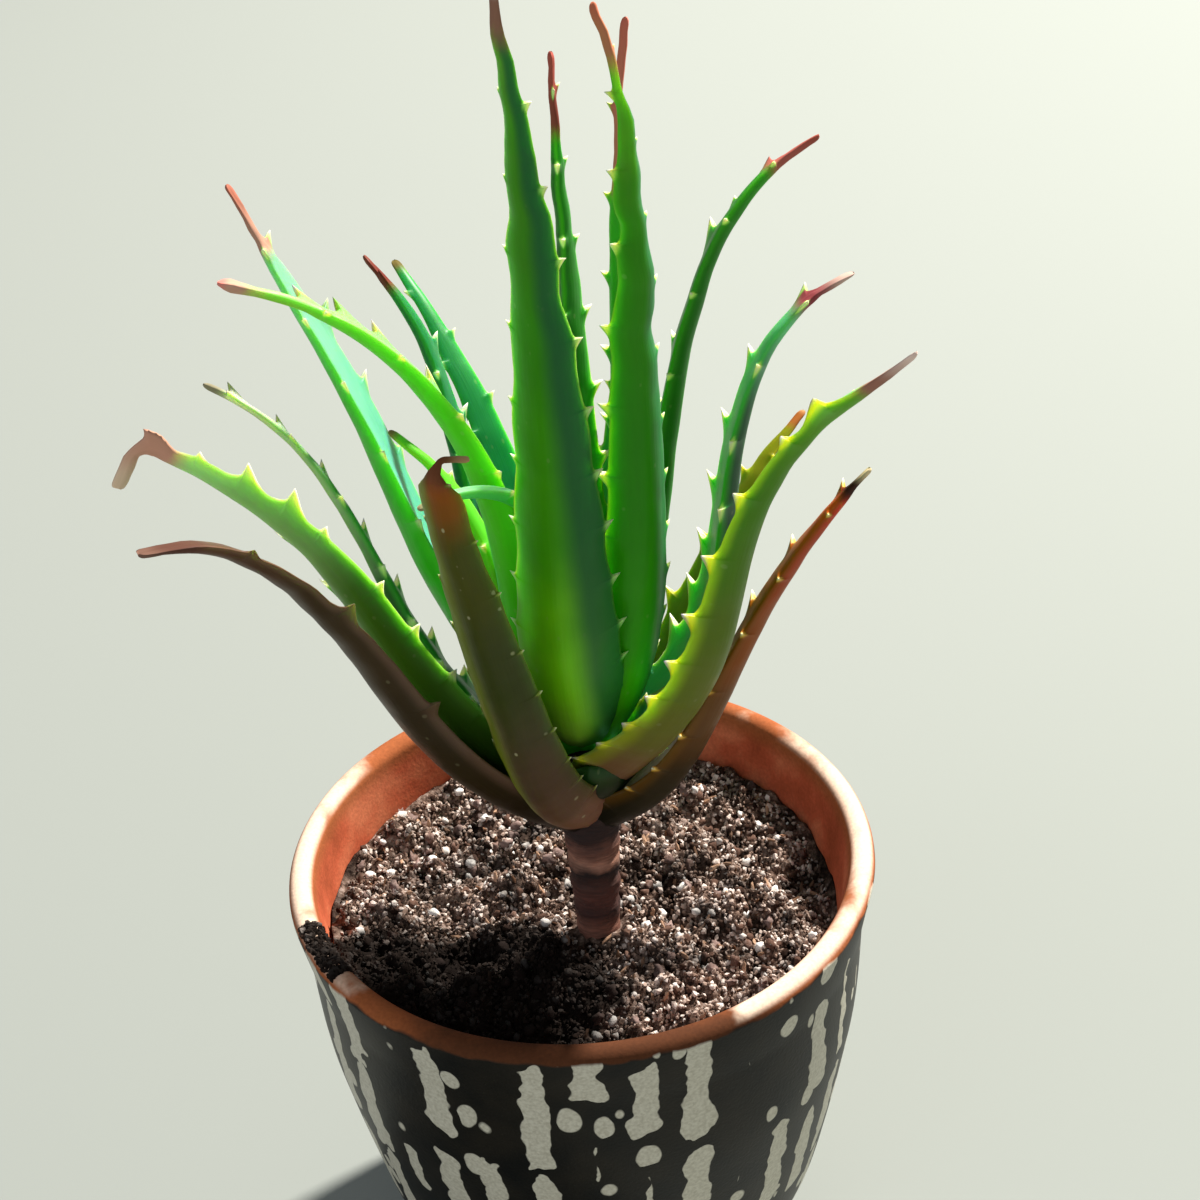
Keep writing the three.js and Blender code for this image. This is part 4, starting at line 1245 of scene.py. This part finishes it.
def soil_material():
    """Moist peat: near black with brown crumbs, a fine tan dust of fibre, fully matt."""
    material, tree = new_material("moist_peat")
    where = add_node(tree, "ShaderNodeTexCoord").outputs["Object"]
    crumbs = add_node(tree, "ShaderNodeTexNoise", {
        "Vector": where, "Scale": 420.0, "Detail": 5.0, "Roughness": 0.7})
    clods = add_node(tree, "ShaderNodeTexNoise", {"Vector": where, "Scale": 60.0, "Detail": 2.0})
    tone = add_node(tree, "ShaderNodeMath", {
        0: clods, 1: 0.35, 2: crumbs}, operation="MULTIPLY_ADD")
    paint = paint_stops(add_node(tree, "ShaderNodeValToRGB", {0: tone}), [
        (0.5, "#1c1310"), (0.62, "#4a382f"), (0.74, "#7d685c"), (0.84, "#a8948a")])
    relief = add_node(tree, "ShaderNodeBump", {
        "Strength": 1.0, "Distance": 0.0012, "Height": crumbs})
    finish_earth(tree, where, paint, 0.95, relief)
    return material


def grain_material(name, stops, roughness, scale):
    """Loose grains whose colour is drawn for each one, with finer mottling on each."""
    material, tree = new_material(name)
    tone = add_node(tree, "ShaderNodeAttribute", attribute_name="tone").outputs["Fac"]
    where = add_node(tree, "ShaderNodeTexCoord").outputs["Object"]
    mottle = add_node(tree, "ShaderNodeTexNoise", {
        "Vector": where, "Scale": scale, "Detail": 3.0, "Roughness": 0.65})
    mixed = add_node(tree, "ShaderNodeMath", {0: mottle, 1: 0.5, 2: tone}, operation="MULTIPLY_ADD")
    level = add_node(tree, "ShaderNodeMath", {0: mixed, 1: -0.25}, operation="ADD")
    paint = paint_stops(add_node(tree, "ShaderNodeValToRGB", {0: level}), stops)
    relief = add_node(tree, "ShaderNodeBump", {
        "Strength": 0.7, "Distance": 0.0004, "Height": mottle})
    finish_earth(tree, where, paint, roughness, relief)
    return material


# ------------------------------------------------------------------ loose grains

# Grain shapes: how many, subdivisions, stretch, lumpiness and seed.
SHAPES = {
    "lump_shape": (5, 2, 1.2, 0.9, 11),
    "crumb_shape": (6, 1, 1.2, 0.8, 23),
    "grit_shape": (4, 2, 1.05, 0.5, 37),
    "chip_shape": (4, 1, 3.4, 0.35, 51),
}
# Finishes: colours for the drawn tone, roughness and scale of the mottling.
FINISHES = {
    "peat_clod": ([(0.1, "#120b08"), (0.45, "#33221a"), (0.8, "#6a5044"), (1.0, "#96807a")],
                  0.95, 900.0),
    "peat_crumb": ([(0.05, "#20140f"), (0.3, "#4a342a"), (0.55, "#8c7466"), (0.8, "#baa598"),
                    (1.0, "#e0d2c9")], 0.95, 700.0),
    "expanded_white_grit": ([(0.1, "#9c8e86"), (0.4, "#cfc4bc"), (0.8, "#f4efe9")], 0.8, 1500.0),
    "tan_bark_chip": ([(0.1, "#3c281c"), (0.5, "#7c5840"), (0.9, "#b8947a")], 0.85, 900.0),
}
# Grains: where they lie, shape, finish, least spacing in mm, number to a square metre,
# smallest and largest in mm, and seed.
GRAINS = {
    "peat_lumps": ("ground", "lump_shape", "peat_clod", 3.0, 50000, 1.0, 3.0, 3),
    "peat_crumbs": ("ground", "crumb_shape", "peat_crumb", 1.2, 420000, 0.4, 1.7, 4),
    "peat_dust": ("ground", "crumb_shape", "peat_crumb", 0.5, 560000, 0.3, 1.1, 8),
    "white_grit": ("ground", "grit_shape", "expanded_white_grit", 3.2, 10500, 0.9, 3.1, 5),
    "pale_dust": ("ground", "crumb_shape", "expanded_white_grit", 1.4, 85000, 0.3, 1.0, 9),
    "bark_chips": ("ground", "chip_shape", "tan_bark_chip", 3.0, 26000, 0.4, 1.5, 6),
    "spilled_crumbs": ("spill", "crumb_shape", "peat_crumb", 0.45, 4000000, 0.7, 1.9, 12),
}
GROUND_START = 1.0
GROUND_RINGS = 60
GROUND_SIDES = 240
STEM_FREE = 7.5         # no grain lies closer to the stem's axis than this
# The spill over the lip: its rows and steps, its radii in mm, and its span in degrees.
SPILL_ROWS = 14
SPILL_STEPS = 30
SPILL_START = 64.5
SPILL_REACH = RIM_RADIUS - 65.2
SPILL_LIP = 68.6
SPILL_FROM = 196
SPILL_SPAN = 17


def grain_shapes(name, kinds, detail, stretch, rough, seed):
    """A few lumpy shapes about 1 m across, which the scatter shrinks to grains."""
    shapes = bpy.data.collections.new(name)
    for kind in range(kinds):
        draw = random.Random(seed + kind)
        base = bpy.data.meshes.new(f"{name}_{kind}")
        form = bmesh.new()
        bmesh.ops.create_icosphere(form, subdivisions=detail, radius=0.5)
        for vert in form.verts:
            swell = 1 + rough * noise.noise(vert.co * 3.1 + Vector((7.7 * kind, seed, 0)))
            swell += 0.5 * rough * (draw.random() - 0.5)
            vert.co *= swell
            vert.co.x *= stretch * (0.85 + 0.3 * draw.random())
            vert.co.z *= 0.8
        form.to_mesh(base)
        form.free()
        if detail > 1:
            base.shade_smooth()
        shapes.objects.link(bpy.data.objects.new(f"{name}_{kind}", base))
    return shapes


def scatter_tree():
    """Scatters shapes over a surface: a poisson spread, random turns, sizes and tones."""
    tree = bpy.data.node_groups.new("scatter_grains", "GeometryNodeTree")
    sockets = [
        ("Ground", "NodeSocketGeometry"), ("Shapes", "NodeSocketCollection"),
        ("Spacing", "NodeSocketFloat"), ("Per Square Metre", "NodeSocketFloat"),
        ("Smallest", "NodeSocketFloat"), ("Largest", "NodeSocketFloat"),
        ("Seed", "NodeSocketInt"), ("Finish", "NodeSocketMaterial"),
    ]
    for name, kind in sockets:
        tree.interface.new_socket(name, in_out="INPUT", socket_type=kind)
    tree.interface.new_socket("Grains", in_out="OUTPUT", socket_type="NodeSocketGeometry")
    given = add_node(tree, "NodeGroupInput").outputs
    spread = add_node(tree, "GeometryNodeDistributePointsOnFaces", {
        "Mesh": given["Ground"], "Distance Min": given["Spacing"],
        "Density Max": given["Per Square Metre"], "Seed": given["Seed"]},
        distribute_method="POISSON")
    shapes = add_node(tree, "GeometryNodeCollectionInfo", {
        "Collection": given["Shapes"], "Separate Children": True, "Reset Children": True})
    turn = add_node(tree, "FunctionNodeRandomValue", {
        0: (0, 0, 0), 1: (6.283, 6.283, 6.283), "Seed": given["Seed"]}, data_type="FLOAT_VECTOR")
    size = add_node(tree, "FunctionNodeRandomValue", {
        2: given["Smallest"], 3: given["Largest"], "Seed": given["Seed"]}, data_type="FLOAT")
    placed = add_node(tree, "GeometryNodeInstanceOnPoints", {
        "Points": spread, "Instance": shapes, "Pick Instance": True, "Rotation": turn,
        "Scale": size})
    tone = add_node(tree, "FunctionNodeRandomValue", {
        2: 0.0, 3: 1.0, "Seed": given["Seed"]}, data_type="FLOAT")
    toned = add_node(tree, "GeometryNodeStoreNamedAttribute", {
        "Geometry": placed, "Name": "tone", "Value": tone}, data_type="FLOAT", domain="INSTANCE")
    real = add_node(tree, "GeometryNodeRealizeInstances", {0: toned})
    finished = add_node(tree, "GeometryNodeSetMaterial", {
        "Geometry": real, "Material": given["Finish"]})
    add_node(tree, "NodeGroupOutput", {0: finished})
    return tree


def scatter_ground():
    """The part of the soil's surface that grains may lie on, as a mesh of its own."""
    points = []
    reach = soil_top_radius() - 2.0 - GROUND_START
    for i in range(GROUND_RINGS):
        radius = GROUND_START + reach * i / (GROUND_RINGS - 1)
        for x, y in circle(radius, GROUND_SIDES):
            points.append((x, y, soil_height(x, y) + soil_clods(x, y) + 0.1))
    kept = []
    for face in loft_faces(GROUND_RINGS, GROUND_SIDES, closed=False):
        middle = np.mean([points[i] for i in face], axis=0)
        if math.hypot(middle[0] - STEM_X, middle[1] - STEM_Y) > STEM_FREE:
            kept.append(face)
    return mesh_object("ground", points, kept, None)


def spill_ground():
    """Where soil has spilled over the lip at the left front."""
    points = []
    middle = RIM_RADIUS - WALL / 2
    for i in range(SPILL_ROWS):
        radius = SPILL_START + SPILL_REACH * i / (SPILL_ROWS - 1)
        lip = 0
        if radius > SPILL_LIP:
            over = max(0.0, 1 - ((radius - middle) / (WALL / 2)) ** 2)
            lip = POT_HEIGHT - LIP_RISE + LIP_RISE * math.sqrt(over)
        for k in range(SPILL_STEPS):
            angle = math.radians(SPILL_FROM + SPILL_SPAN * k / (SPILL_STEPS - 1))
            x, y = radius * math.cos(angle), radius * math.sin(angle)
            points.append((x, y, max(lip, soil_height(x, y) + 1) + 0.4 * bump_at(x, y, 2, 4)))
    faces = []
    for i in range(SPILL_ROWS - 1):
        for k in range(SPILL_STEPS - 1):
            a = i * SPILL_STEPS + k
            faces.append((a, a + SPILL_STEPS, a + SPILL_STEPS + 1, a + 1))
    return mesh_object("spill", points, faces, None)


def make_grains(tree, name, ground, shapes, finish, spacing, density, smallest, largest, seed):
    """Runs the scatter once and keeps its result as a plain mesh."""
    holder = put_in_scene("holder", ground.data)
    scatter = holder.modifiers.new("scatter", "NODES")
    scatter.node_group = tree
    values = {
        "Shapes": shapes, "Spacing": spacing * MM, "Per Square Metre": density,
        "Smallest": smallest * MM, "Largest": largest * MM, "Seed": seed, "Finish": finish,
    }
    for item in tree.interface.items_tree:
        if item.name in values:
            scatter[item.identifier] = values[item.name]
    holder.update_tag()
    depsgraph = bpy.context.evaluated_depsgraph_get()
    mesh = bpy.data.meshes.new_from_object(holder.evaluated_get(depsgraph))
    mesh.name = name
    bpy.data.objects.remove(holder)
    hand_over(put_in_scene(name, mesh), "soil")


def make_potting_mix():
    make_soil()
    tree = scatter_tree()
    grounds = {"ground": scatter_ground(), "spill": spill_ground()}
    finishes = {name: grain_material(name, *values) for name, values in FINISHES.items()}
    shapes = {name: grain_shapes(name, *values) for name, values in SHAPES.items()}
    for name, (ground, shape, finish, *sizes) in GRAINS.items():
        make_grains(tree, name, grounds[ground], shapes[shape], finishes[finish], *sizes)
    for ground in grounds.values():
        bpy.data.objects.remove(ground)
    for collection in shapes.values():
        for shape in list(collection.objects):
            bpy.data.objects.remove(shape)
        bpy.data.collections.remove(collection)


# ------------------------------------------------------------------ the whole plant

make_camera()
make_studio()
make_pot()
make_potting_mix()
make_stem()
for number, leaf_spec in enumerate(LEAVES):
    make_leaf(number, f"aloe_leaf_{number + 1:02d}", leaf_spec, f"leaf_{number + 1:02d}")
make_leaf(SCALE_NUMBER, "crown_scale_1", CROWN_SCALE)
